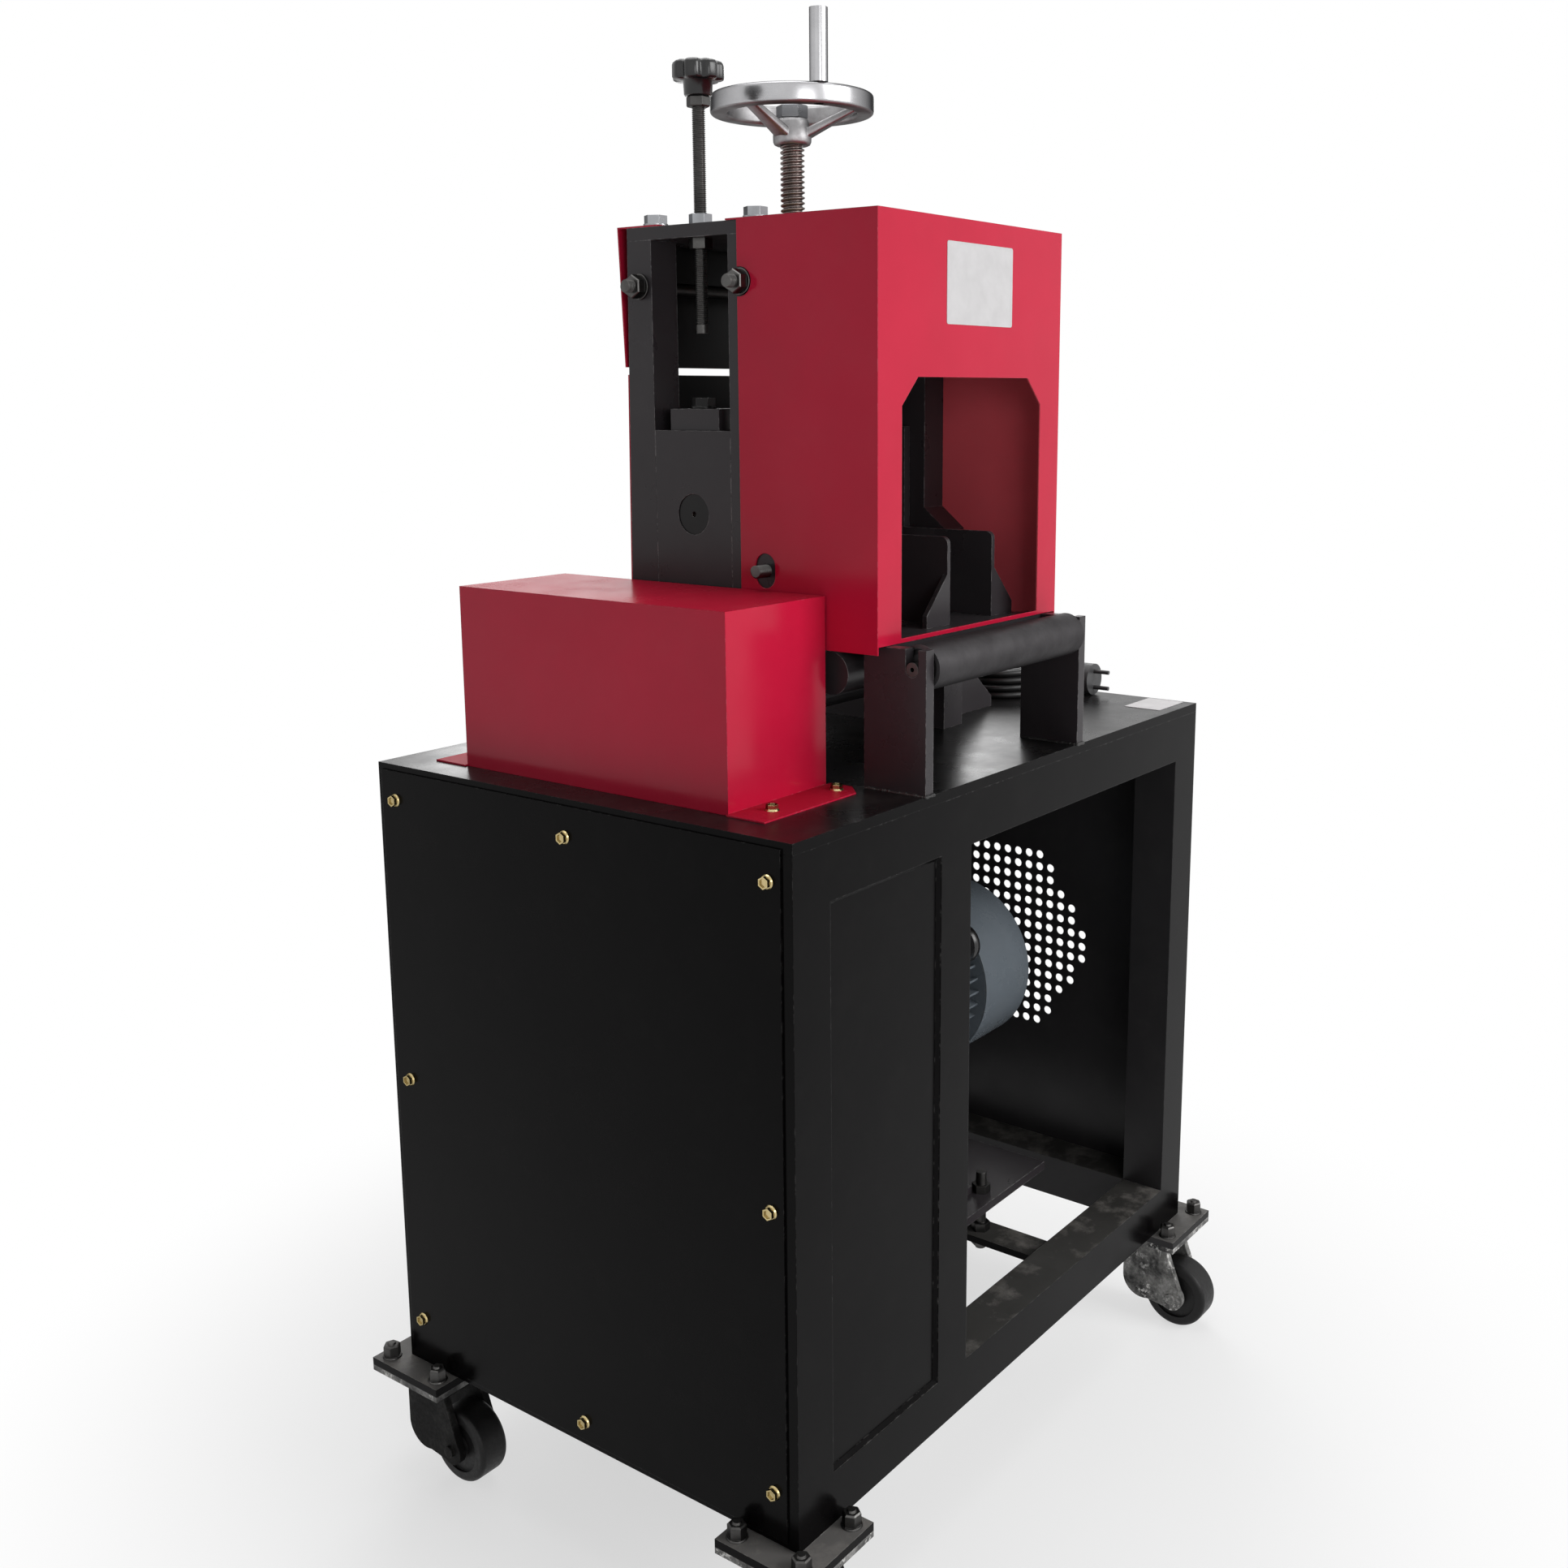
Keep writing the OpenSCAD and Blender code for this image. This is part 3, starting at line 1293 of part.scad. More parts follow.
// Radius and height along the coil: it spirals in and out, and climbs where the spiral turns back
function coil_fold(t) = abs((t + coil_turns_a_layer) % (2 * coil_turns_a_layer) - coil_turns_a_layer);
function coil_radius(t) = t > coil_turns_a_layer * coil_layers
    ? coil_r + (t - coil_turns_a_layer * coil_layers) * coil_pitch
    : coil_r - coil_fold(t) * coil_pitch;
function coil_climb(t, k) = min(1, max(0, (t - coil_turns_a_layer * k + 0.25) / 0.5));
function coil_height(t) = coil_pitch * (coil_climb(t, 1) + coil_climb(t, 2) + coil_climb(t, 3));
function coil_point(t) = let (a = coil_start - 360 * t) [
    coil_mid[0] + coil_radius(t) * cos(a), coil_mid[1] + coil_radius(t) * sin(a), cord_rest + coil_height(t)
];

// The coil's ends run straight for one cord diameter
coil_out_dir = [0, -1, 0];
coil_ring_n = round(coil_end_turn * coil_rings_a_turn);
coil_path = concat(
    [coil_point(0) - cord_d * coil_in_dir],
    [for (i = [0 : coil_ring_n]) coil_point(coil_end_turn * i / coil_ring_n)],
    [coil_point(coil_end_turn) + cord_d * coil_out_dir]
);

// Least gap of the coil to itself, between points at least half a turn apart along the cord
coil_apart = coil_rings_a_turn / 2;
coil_self_gap = min([
    for (i = [0 : len(coil_path) - 1], j = [i + coil_apart : 1 : len(coil_path) - 1])
        norm(coil_path[i] - coil_path[j])
]) - cord_d;
echo(coil_self_gap = coil_self_gap);

// The lead rises from the gland, bends over and comes down to the table, then runs to the coil.
// The cord's pieces end a small gap apart.
// Its points are the distance from the gland toward the coil and the height over the table.
gland_top = 20;
cord_gap = 0.5;
lead_points = [
    [0, gland_top], [0, 34], [5, 52], [18, 65], [36, 70], [54, 65], [67, 52], [76, 37], [85, 22], [98, 9],
    [116, cord_rest], [134, cord_rest], [lead_run - 2 * cord_d,
        cord_rest], [lead_run - cord_d - cord_gap, cord_rest]
];
lead_in = [
    for (p = lead_points) [gland_pos[0] + p[0] * coil_in_dir[0], gland_pos[1] + p[0] * coil_in_dir[1],
        p[1]]
];

// From the coil's top the cord drops to the plug in two easy bends
plug_l = 34;
plug_neck = 16;
plug_d = 37;
tail_run = 44;
tail_points = [[cord_gap, 1], [10, 0.93], [18, 0.75], [26, 0.25], [34, 0.07], [tail_run - cord_gap, 0]];
coil_exit = coil_path[len(coil_path) - 1];
plug_rest = plug_d / 2 + 0.1;
plug_mid = [coil_exit[0], coil_exit[1] - tail_run - plug_neck - plug_l / 2, plug_rest];
lead_out = [
    for (p = tail_points) [coil_exit[0], coil_exit[1] - p[0],
        plug_rest + (coil_exit[2] - plug_rest) * p[1]]
];

// A closed tube of flat sides round a path of points
function unit(v) = v / norm(v);
function path_dir(p, i) = unit(p[min(i + 1, len(p) - 1)] - p[max(i - 1, 0)]);
function side_of(d) = unit(cross(d, abs(d[2]) > 0.9 ? -coil_in_dir : [0, 0, 1]));
module cord_tube(path, d, sides) {
    n = len(path);
    r = d / 2;
    points = [
        for (i = [0 : n - 1])
            let (dir = path_dir(path, i), u = side_of(dir), v = cross(u, dir))
                for (k = [0 : sides - 1])
                    path[i] + r * (cos(k * 360 / sides) * u + sin(k * 360 / sides) * v)
    ];
    walls = [
        for (i = [0 : n - 2], k = [0 : sides - 1])
            let (a = i * sides + k, b = i * sides + (k + 1) % sides)
                for (f = [[a, b, b + sides], [a, b + sides, a + sides]]) f
    ];
    ends = [
        for (k = [1 : sides - 2])
            for (f = [[0, k + 1, k], [(n - 1) * sides, (n - 1) * sides + k, (n - 1) * sides + k + 1]]) f
    ];
    polyhedron(points = points, faces = concat(walls, ends));
}

module cord_gland() {
    color("#1f1f20") at_cabinet() translate([gland_pos[0], gland_pos[1], table_top]) {
        rod_z(gland_d, 0, 0, [-plate_t - 6, 1]);
        hex_z(1.3 * gland_d, 0, 0, [0, 6]);
        rod_z(1.15 * gland_d, 0, 0, [6, 14]);
        translate([0, 0, 14]) cylinder(d1 = 1.15 * gland_d, d2 = 0.75 * gland_d, h = gland_top - 14);
    }
}

module cord_lead() {
    color("#121213") at_cabinet() translate([0, 0, table_top]) {
        cord_tube(lead_in, cord_d, 10);
        cord_tube(lead_out, cord_d, 10);
    }
}

module cord_coil() {
    color("#121213") at_cabinet() translate([0, 0, table_top]) cord_tube(coil_path, cord_d, 6);
}

// Round plug lying on the table, its face and pins toward the feed side
pin_d = 4.8;
pin_l = 19;
pin_gap = 19;
module plug() {
    color("#4b4c4e") at_cabinet() translate([plug_mid[0], plug_mid[1], table_top + plug_mid[2]])
        rotate([-90, 0, 0]) {
        rod_z(plug_d, 0, 0, [-plug_l / 2, 4]);
        translate([0, 0, 4]) cylinder(d1 = plug_d, d2 = 0.6 * plug_d, h = plug_l / 2 - 4);
        translate([0, 0, plug_l / 2]) cylinder(d1 = 0.5 * plug_d, d2 = 1.3 * cord_d, h = plug_neck);
        for (s = [-1, 1]) rod_z(pin_d, 0, s * pin_gap / 2, [-plug_l / 2 - pin_l, -plug_l / 2]);
    }
}

cabinet_frame();
table_plate();
left_panel();
right_panel();
back_panel();
front_panel();
zinc_screws();
hex_bolts();
motor_plate();
plate_rods();
motor_stool();
reducer();
motor();
fan_cowl();
motor_fan();
capacitor();
drive_pulley();
belts();
driven_pulley();
belt_guard();
stand_left();
stand_right();
top_plate();
screw_nut();
tie_rods();
hood();
rear_covers();
drum();
drum_bearings();
slide_blocks();
crosshead();
crosshead_bolts();
blade_shaft();
blade();
lead_screw();
handwheel();
wheel_handle();
stop_foot();
stop_rod();
star_knob();
stop_nuts();
infeed_bed();
guide_left();
guide_right();
roller_brackets();
idler_axle();
idler_roller();
caster_plates();
fork_front_left();
fork_front_right();
fork_back_left();
fork_back_right();
wheel_front_left();
wheel_front_right();
wheel_back_left();
wheel_back_right();
cord_gland();
cord_lead();
cord_coil();
plug();
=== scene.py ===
"""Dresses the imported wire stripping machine: camera, studio light, cord, finishes and fine pieces.

Lengths are metres in the machine's own frame: +Z up, feed side toward -Y, belt guard toward -X.
"""
import logging
import math
from collections.abc import Callable
from dataclasses import dataclass, field
from enum import Enum

import bmesh
import bpy
from mathutils import Matrix, Vector

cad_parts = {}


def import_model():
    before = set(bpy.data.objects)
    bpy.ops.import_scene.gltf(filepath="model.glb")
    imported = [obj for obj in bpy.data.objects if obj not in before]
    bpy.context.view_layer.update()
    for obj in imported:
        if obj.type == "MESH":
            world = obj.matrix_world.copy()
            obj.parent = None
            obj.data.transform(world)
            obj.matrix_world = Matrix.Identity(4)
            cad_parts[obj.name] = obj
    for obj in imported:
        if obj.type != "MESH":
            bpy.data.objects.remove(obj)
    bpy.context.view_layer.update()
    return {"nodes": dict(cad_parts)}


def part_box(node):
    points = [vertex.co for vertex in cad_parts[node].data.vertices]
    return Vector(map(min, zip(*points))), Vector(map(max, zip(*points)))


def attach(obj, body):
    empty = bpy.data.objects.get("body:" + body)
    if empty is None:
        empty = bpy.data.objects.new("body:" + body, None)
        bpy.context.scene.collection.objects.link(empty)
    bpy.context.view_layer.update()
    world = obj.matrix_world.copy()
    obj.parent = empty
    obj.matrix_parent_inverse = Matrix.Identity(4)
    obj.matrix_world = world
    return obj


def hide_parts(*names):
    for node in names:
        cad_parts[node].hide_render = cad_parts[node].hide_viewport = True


Socket = bpy.types.NodeSocket
Colour = tuple[float, float, float]
Triple = tuple[float, float, float]

log = logging.getLogger("wire_stripper")
MM = 0.001

# The cabinet's middle lies behind the middle of the whole machine
CABINET_Y = 13.5 * MM
TABLE_TOP = 760 * MM
HEAD = Vector((-41 * MM, CABINET_Y, TABLE_TOP))
# The bolts on the head's top are plated, and those lower down are black
PLATED_FROM = TABLE_TOP + 470 * MM
# Dust lies on the cabinet's lower rails
DUSTY_BELOW = 300 * MM
# Upward faces of the frame below this height are the casters' pads
PADS_BELOW = 150 * MM
# The head's stands, measured from its middle to their outer faces
STAND_HALF = 155 * MM
# The upper stop nut is plated, and the lower one takes the darker steel as painted shade
STOP_NUT_SHADE_PAINTED_BELOW = PLATED_FROM + 20 * MM
# The cabinet's right posts begin here
RIGHT_POSTS_FROM = 300 * MM
# A face looks along an axis when its normal keeps more than this share of it, and lies square on from the next one
FACING = 0.5
SQUARE_ON = 0.9
# On the hood's inner sides the normal's share across, times the distance from the head's middle, is beyond this
HOOD_INWARD = 30 * MM
# Rays that the shaders send out to find edges, and the agreement of normals at which an edge counts fully
EDGE_SAMPLES = 6
EDGE_FULL = 0.75
# Width of the change from dark to lit paint beside the head
SHADE_FADE = 2 * MM
# Chamfer of a nut's corners, and its radius at the two ends as a share of that at the corners
NUT_CHAMFER = 1.1 * MM
NUT_END = 0.9


class Body(str, Enum):
    """Bodies that the added pieces ride on."""

    CABINET = "cabinet"
    SCREW = "screw"
    STOP = "stop"


class Slot(str, Enum):
    """Material slots that the added pieces take."""

    BLACK = "black_paint"
    DARK = "dark_steel"
    RUBBER = "rubber_black"
    BRIGHT = "bright_steel"
    PLASTIC = "black_plastic"
    ZINC = "zinc"


class Graph:
    """A small builder for a material's nodes."""

    def __init__(self, name: str) -> None:
        """Starts an empty material with one glossy shader.

        Args:
            name: Name of the material.
        """
        self.material = bpy.data.materials.new(name)
        self.material.use_nodes = True
        self.tree = self.material.node_tree
        self.tree.nodes.clear()
        self.shader = self.add("ShaderNodeBsdfPrincipled")
        output = self.add("ShaderNodeOutputMaterial")
        self.link(self.shader.outputs["BSDF"], output.inputs["Surface"])
        self.coords = self.add("ShaderNodeTexCoord").outputs["Object"]

    def add(self, kind: str, **settings: object) -> bpy.types.Node:
        """Adds a node and sets its properties.

        Args:
            kind: Blender's name of the node type.
            settings: Properties of the node.

        Returns:
            The new node.
        """
        node = self.tree.nodes.new(kind)
        for key, value in settings.items():
            setattr(node, key, value)
        return node

    def link(self, source: Socket, target: Socket) -> None:
        """Joins two sockets.

        Args:
            source: Socket that gives the value.
            target: Socket that takes it.
        """
        self.tree.links.new(source, target)

    def stretched(self, scale: Triple) -> Socket:
        """Gives object coordinates stretched along the axes.

        Args:
            scale: Factor along each axis.

        Returns:
            The vector socket.
        """
        mapping = self.add("ShaderNodeMapping")
        mapping.inputs["Scale"].default_value = scale
        self.link(self.coords, mapping.inputs["Vector"])
        return mapping.outputs["Vector"]

    def noise(self, scale: float, detail: float = 4.0, rough: float = 0.55,
              vector: Socket | None = None) -> Socket:
        """Adds a noise pattern.

        Args:
            scale: Features per metre.
            detail: Number of octaves.
            rough: Strength of the finer octaves.
            vector: Coordinates, or object coordinates where none are given.

        Returns:
            The pattern's value socket.
        """
        node = self.add("ShaderNodeTexNoise")
        node.inputs["Scale"].default_value = scale
        node.inputs["Detail"].default_value = detail
        node.inputs["Roughness"].default_value = rough
        self.link(vector or self.coords, node.inputs["Vector"])
        return node.outputs["Fac"]

    def ramp(self, value: Socket, low: float, high: float, start: float = 0.0,
             end: float = 1.0) -> Socket:
        """Maps a stretch of a value to another, clamped.

        Args:
            value: Socket to map.
            low: Value that gives start.
            high: Value that gives end.
            start: Result at low.
            end: Result at high.

        Returns:
            The mapped socket.
        """
        node = self.add("ShaderNodeMapRange")
        node.inputs["From Min"].default_value = low
        node.inputs["From Max"].default_value = high
        node.inputs["To Min"].default_value = start
        node.inputs["To Max"].default_value = end
        self.link(value, node.inputs["Value"])
        return node.outputs["Result"]

    def math(self, operation: str, a: Socket, b: Socket | float) -> Socket:
        """Combines two values.

        Args:
            operation: Blender's name of the operation.
            a: First value.
            b: Second value, a socket or a number.

        Returns:
            The result's socket.
        """
        node = self.add("ShaderNodeMath", operation=operation)
        self.link(a, node.inputs[0])
        if isinstance(b, (int, float)):
            node.inputs[1].default_value = b
        else:
            self.link(b, node.inputs[1])
        return node.outputs[0]

    def mix(self, factor: Socket, a: Socket | Colour, b: Socket | Colour) -> Socket:
        """Mixes two colours.

        Args:
            factor: Share of the second colour.
            a: First colour, a socket or red, green and blue.
            b: Second colour, likewise.

        Returns:
            The colour socket.
        """
        node = self.add("ShaderNodeMix", data_type="RGBA")
        self.link(factor, node.inputs["Factor"])
        for socket, colour in ((node.inputs[6], a), (node.inputs[7], b)):
            if isinstance(colour, tuple):
                socket.default_value = (*colour, 1.0)
            else:
                self.link(colour, socket)
        return node.outputs[2]

    def edges(self, radius: float) -> Socket:
        """Finds the sharp edges of a surface.

        Args:
            radius: Width of the edge band.

        Returns:
            A socket that is 0 on flat faces and rises toward edges.
        """
        bevel = self.add("ShaderNodeBevel", samples=EDGE_SAMPLES)
        bevel.inputs["Radius"].default_value = radius
        geometry = self.add("ShaderNodeNewGeometry")
        dot = self.add("ShaderNodeVectorMath", operation="DOT_PRODUCT")
        self.link(bevel.outputs["Normal"], dot.inputs[0])
        self.link(geometry.outputs["Normal"], dot.inputs[1])
        return self.ramp(dot.outputs["Value"], 1.0, EDGE_FULL)

    def near_head(self, half: float) -> Socket:
        """Finds the stretch between the head's stands.

        Args:
            half: Half the width of the stretch.

        Returns:
            A socket that is 1 inside the stretch and 0 beyond it.
        """
        place = self.add("ShaderNodeSeparateXYZ")
        self.link(self.coords, place.inputs[0])
        off = self.math("ABSOLUTE", self.math("SUBTRACT", place.outputs["X"], HEAD.x), 0.0)
        return self.ramp(off, half, half + SHADE_FADE, 1.0, 0.0)

    def bump(self, height: Socket, strength: float, depth: float, round_edge: float = 0.0) -> None:
        """Raises the surface by a height pattern and rounds its edges.

        Args:
            height: Pattern from 0 to 1.
            strength: Share of the effect.
            depth: Height of the pattern.
            round_edge: Radius that catches light along sharp edges.
        """
        node = self.add("ShaderNodeBump")
        node.inputs["Strength"].default_value = strength
        node.inputs["Distance"].default_value = depth
        self.link(height, node.inputs["Height"])
        if round_edge:
            bevel = self.add("ShaderNodeBevel", samples=EDGE_SAMPLES)
            bevel.inputs["Radius"].default_value = round_edge
            self.link(bevel.outputs["Normal"], node.inputs["Normal"])
        self.link(node.outputs["Normal"], self.shader.inputs["Normal"])


@dataclass(frozen=True)
class Paint:
    """Brushed or sprayed enamel with worn edges, dust and faint orange peel. Where the edge colour is set light, the
    edge band is also a painted highlight; the paint can also take painted shade between the head's stands.
    """

    name: str
    base: Colour
    shade: Colour
    # Colour of the edge band: worn-through paint, and a painted highlight where it is set light
    bare_and_highlight: Colour = (0.23, 0.22, 0.21)
    roughness: tuple[float, float] = (0.28, 0.45)
    wear_and_highlight: float = 0.5
    dust: float = 0.15
    gloss: float = 0.5
    edge: float = 1.2 * MM
    peel: float = 0.25
    # Half width of the painted shade between the head's stands; none when 0
    shade_painted_within: float = 0.0
    cloud_scale: float = 7.0
    peel_scale: float = 190.0
    dust_scale: float = 24.0
    chip_scale: float = 130.0
    gloss_scale: float = 16.0
    peel_height: float = 0.25 * MM
    round_edge: float = 0.8 * MM

    def build(self) -> bpy.types.Material:
        """Makes the material.

        Returns:
            The material.
        """
        g = Graph(self.name)
        g.shader.inputs["Specular IOR Level"].default_value = self.gloss
        cloud = g.noise(self.cloud_scale, 5.0)
        fine = g.noise(self.peel_scale, 3.0)
        colour = g.mix(g.ramp(cloud, 0.3, 0.7), self.base, self.shade)
        # Painted shade: the stretch between the head's stands is darkened to the shaded colour
        if self.shade_painted_within:
            colour = g.mix(g.near_head(self.shade_painted_within), colour, SHADOWED)
        dust = g.math("MULTIPLY", g.ramp(g.noise(self.dust_scale, 8.0, 0.7), 0.5, 0.75), self.dust)
        colour = g.mix(dust, colour, DUST)
        # Edge band: chipped, worn paint, and where its colour is light also a painted highlight along the edges
        chips = g.ramp(g.noise(self.chip_scale, 6.0, 0.65), 0.62 - 0.22 * self.wear_and_highlight, 0.72 - 0.2 * self.wear_and_highlight)
        worn = g.math("MULTIPLY", g.math("MULTIPLY", g.edges(self.edge), chips), min(1.0, 2.0 * self.wear_and_highlight))
        colour = g.mix(worn, colour, self.bare_and_highlight)
        g.link(colour, g.shader.inputs["Base Color"])
        rough = g.ramp(g.noise(self.gloss_scale, 6.0, 0.6), 0.3, 0.7, *self.roughness)
        g.link(rough, g.shader.inputs["Roughness"])
        g.bump(g.math("SUBTRACT", fine, worn), self.peel, self.peel_height, self.round_edge)
        return g.material


@dataclass(frozen=True)
class Metal:
    """Bare metal with machining marks, darker patches and painted shade where it turns away from the camera."""

    name: str
    base: Colour
    shade: Colour
    roughness: tuple[float, float] = (0.25, 0.45)
    grain: Triple = (30.0, 30.0, 600.0)
    grain_depth: float = 0.08
    # Share of painted shade where the surface turns away from the camera
    rim_shade_painted: float = 0.35
    edge: float = 0.6 * MM
    patch_scale: float = 28.0
    mark_height: float = 0.2 * MM

    def build(self) -> bpy.types.Material:
        """Makes the material.

        Returns:
            The material.
        """
        g = Graph(self.name)
        g.shader.inputs["Metallic"].default_value = 1.0
        marks = g.noise(1.0, 3.0, 0.6, g.stretched(self.grain))
        patches = g.ramp(g.noise(self.patch_scale, 6.0, 0.65), 0.35, 0.7)
        # Painted shade: the metal's colour and reflection darken where the surface turns away from the camera
        rim = g.add("ShaderNodeLayerWeight")
        rim.inputs["Blend"].default_value = 0.5
        painted_rim_shade = g.ramp(rim.outputs["Facing"], 0.25, 0.9, 0.0, self.rim_shade_painted)
        metal = g.mix(painted_rim_shade, g.mix(patches, self.base, self.shade), UNLIT_METAL)
        g.link(metal, g.shader.inputs["Base Color"])
        tint = 1 - self.rim_shade_painted
        g.shader.inputs["Specular Tint"].default_value = (tint, tint, tint, 1)
        rough = g.math("ADD", g.ramp(patches, 0.0, 1.0, *self.roughness), g.math("MULTIPLY", marks, 0.1))
        g.link(rough, g.shader.inputs["Roughness"])
        g.bump(marks, self.grain_depth, self.mark_height, self.edge)
        return g.material


@dataclass(frozen=True)
class Casting:
    """Cast iron under thick paint: pitted, chipped and dusty."""

    name: str
    base: Colour
    chip: Colour
    roughness: tuple[float, float] = (0.4, 0.65)
    chips: float = 0.35
    flat_chips: float = 0.25
    gloss: float = 0.5
    flecks: Colour | None = None
    pit_scale: float = 240.0
    patch_scale: float = 34.0
    scuff_scale: float = 260.0
    fleck_scale: float = 150.0
    fleck_patches: float = 30.0
    rub_width: float = 4 * MM
    pit_height: float = 0.5 * MM
    round_edge: float = 1.0 * MM

    def build(self) -> bpy.types.Material:
        """Makes the material.

        Returns:
            The material.
        """
        g = Graph(self.name)
        g.shader.inputs["Specular IOR Level"].default_value = self.gloss
        pits = g.noise(self.pit_scale, 6.0, 0.7)
        patch = g.ramp(g.noise(self.patch_scale, 9.0, 0.68), 0.62 - 0.34 * self.chips, 0.86 - 0.3 * self.chips)
        scuff = g.ramp(g.noise(self.scuff_scale, 4.0, 0.7), 0.3, 0.62, 0.45, 1.0)
        rubbed = g.ramp(g.edges(self.rub_width), 0.05, 0.6, self.flat_chips, 1.0)
        worn = g.math("MULTIPLY", g.math("MULTIPLY", patch, scuff), rubbed)
        colour = g.mix(worn, self.base, self.chip)
        if self.flecks:
            specks = g.ramp(g.noise(self.fleck_scale, 9.0, 0.72), 0.53, 0.57)
            where = g.ramp(g.noise(self.fleck_patches), 0.47, 0.56)
            colour = g.mix(g.math("MULTIPLY", specks, where), colour, self.flecks)
        g.link(colour, g.shader.inputs["Base Color"])
        g.link(g.ramp(pits, 0.3, 0.7, *self.roughness), g.shader.inputs["Roughness"])
        relief = g.math("SUBTRACT", pits, g.math("MULTIPLY", worn, 0.5))
        g.bump(relief, 0.45, self.pit_height, self.round_edge)
        return g.material


@dataclass(frozen=True)
class Moulded:
    """Plastic or rubber with a fine grain and rubbed patches."""

    name: str
    base: Colour
    shade: Colour
    roughness: tuple[float, float] = (0.4, 0.55)
    grain: float = 900.0
    depth: float = 0.06
    gloss: float = 0.5
    patch_scale: float = 45.0
    grain_height: float = 0.2 * MM
    round_edge: float = 0.5 * MM

    def build(self) -> bpy.types.Material:
        """Makes the material.

        Returns:
            The material.
        """
        g = Graph(self.name)
        g.shader.inputs["Specular IOR Level"].default_value = self.gloss
        patches = g.ramp(g.noise(self.patch_scale, 5.0, 0.6), 0.35, 0.7)
        g.link(g.mix(patches, self.base, self.shade), g.shader.inputs["Base Color"])
        g.link(g.ramp(patches, 0.0, 1.0, *self.roughness), g.shader.inputs["Roughness"])
        g.bump(g.noise(self.grain, 2.0), self.depth, self.grain_height, self.round_edge)
        return g.material


Finish = Paint | Metal | Casting | Moulded

# Colours of the painted shade on the inner side of the rear covers, of settled dust and of the painted shade on metal
# that turns away
SHADOWED = (0.0040, 0.0037, 0.0038)
DUST = (0.30, 0.28, 0.26)
UNLIT_METAL = (0.02, 0.02, 0.021)
BLACK_PAINT = Paint("black_enamel", (0.0036, 0.0032, 0.0034), (0.0024, 0.0021, 0.0023), bare_and_highlight=(0.07, 0.068, 0.067),
                    roughness=(0.15, 0.26), wear_and_highlight=0.45, dust=0.006, gloss=0.05, edge=1.4 * MM, peel=0.07)
# Head's enamel: a lighter copy of the black enamel as painted sheen, with light edges that are partly worn paint and
# partly painted highlight
HEAD_PAINT_PAINTED_SHEEN = Paint("head_enamel_painted_sheen", (0.034, 0.030, 0.033), (0.026, 0.0225, 0.025), bare_and_highlight=(0.30, 0.29, 0.29),
                   roughness=(0.24, 0.38), wear_and_highlight=0.75, dust=0.02, gloss=0.25, edge=1.1 * MM, peel=0.1)
# Upward faces of the red sheet: a darker copy of the red as painted shade, almost without gloss
RED_TOP_PAINTED_SHADE = Paint("red_top_painted_shade", (0.44, 0.012, 0.036), (0.38, 0.009, 0.03), bare_and_highlight=(0.60, 0.08, 0.13),
                roughness=(0.2, 0.3), wear_and_highlight=0.5, dust=0.03, gloss=0.003, edge=1.4 * MM, peel=0.06)
# Inner faces of the rear covers: a slightly darker red, with painted shade between the head's stands
COVER_INSIDE_PAINTED_SHADE = Paint("cover_inside_painted_shade", (0.50, 0.010, 0.040), (0.44, 0.008, 0.034), bare_and_highlight=(0.60, 0.08, 0.13),
                    roughness=(0.3, 0.45), wear_and_highlight=0.3, dust=0.01, gloss=0.15, shade_painted_within=115 * MM)
SHAFT_BLACK = Paint("shaft_black", (0.0050, 0.0046, 0.0048), (0.0034, 0.0031, 0.0033), bare_and_highlight=(0.12, 0.118, 0.115),
                    roughness=(0.25, 0.4), wear_and_highlight=0.7, dust=0.01, gloss=0.2, edge=1.0 * MM)
# Inner faces of the hood: a lighter copy of the red as painted light inside the mouth
HOOD_INSIDE_PAINTED_LIGHT = Paint("hood_inside_painted_light", (0.82, 0.115, 0.145), (0.72, 0.095, 0.12), bare_and_highlight=(0.60, 0.08, 0.13),
                    roughness=(0.4, 0.55), wear_and_highlight=0.3, dust=0.03, gloss=0.15)
DUSTY_PAINT = Paint("dusty_enamel", (0.050, 0.048, 0.045), (0.030, 0.029, 0.027), bare_and_highlight=(0.16, 0.155, 0.15),
                    roughness=(0.4, 0.6), wear_and_highlight=0.6, dust=0.6, gloss=0.2, edge=2.0 * MM)
CASTER_TOP = Paint("caster_top", (0.14, 0.135, 0.13), (0.085, 0.082, 0.078), bare_and_highlight=(0.30, 0.29, 0.28),
                   roughness=(0.4, 0.6), wear_and_highlight=0.7, dust=0.6, gloss=0.2, edge=2.0 * MM)
# A lighter copy of the black enamel, as painted sheen on inner faces that turn from the lamps
PAINTED_SHEEN_BLACK = Paint("black_enamel_painted_sheen", (0.026, 0.0246, 0.026), (0.020, 0.019, 0.020), bare_and_highlight=(0.06, 0.058, 0.058),
                    roughness=(0.3, 0.44), wear_and_highlight=0.3, dust=0.02, gloss=0.2)
TABLE_PAINT = Paint("table_enamel", (0.006, 0.0057, 0.006), (0.0035, 0.0033, 0.0035), bare_and_highlight=(0.13, 0.125, 0.12),
                    roughness=(0.22, 0.36), wear_and_highlight=0.35, dust=0.05, gloss=0.14, edge=0.8 * MM, peel=0.1)
RED_PAINT = Paint("red_enamel", (0.55, 0.010, 0.044), (0.49, 0.008, 0.037), bare_and_highlight=(0.60, 0.08, 0.13),
                  roughness=(0.14, 0.24), wear_and_highlight=0.5, dust=0.01, gloss=0.2, edge=1.4 * MM, peel=0.1)
MOTOR_PAINT = Paint("motor_enamel", (0.125, 0.145, 0.165), (0.095, 0.112, 0.128), roughness=(0.2, 0.34), wear_and_highlight=0.3,
                    dust=0.05)
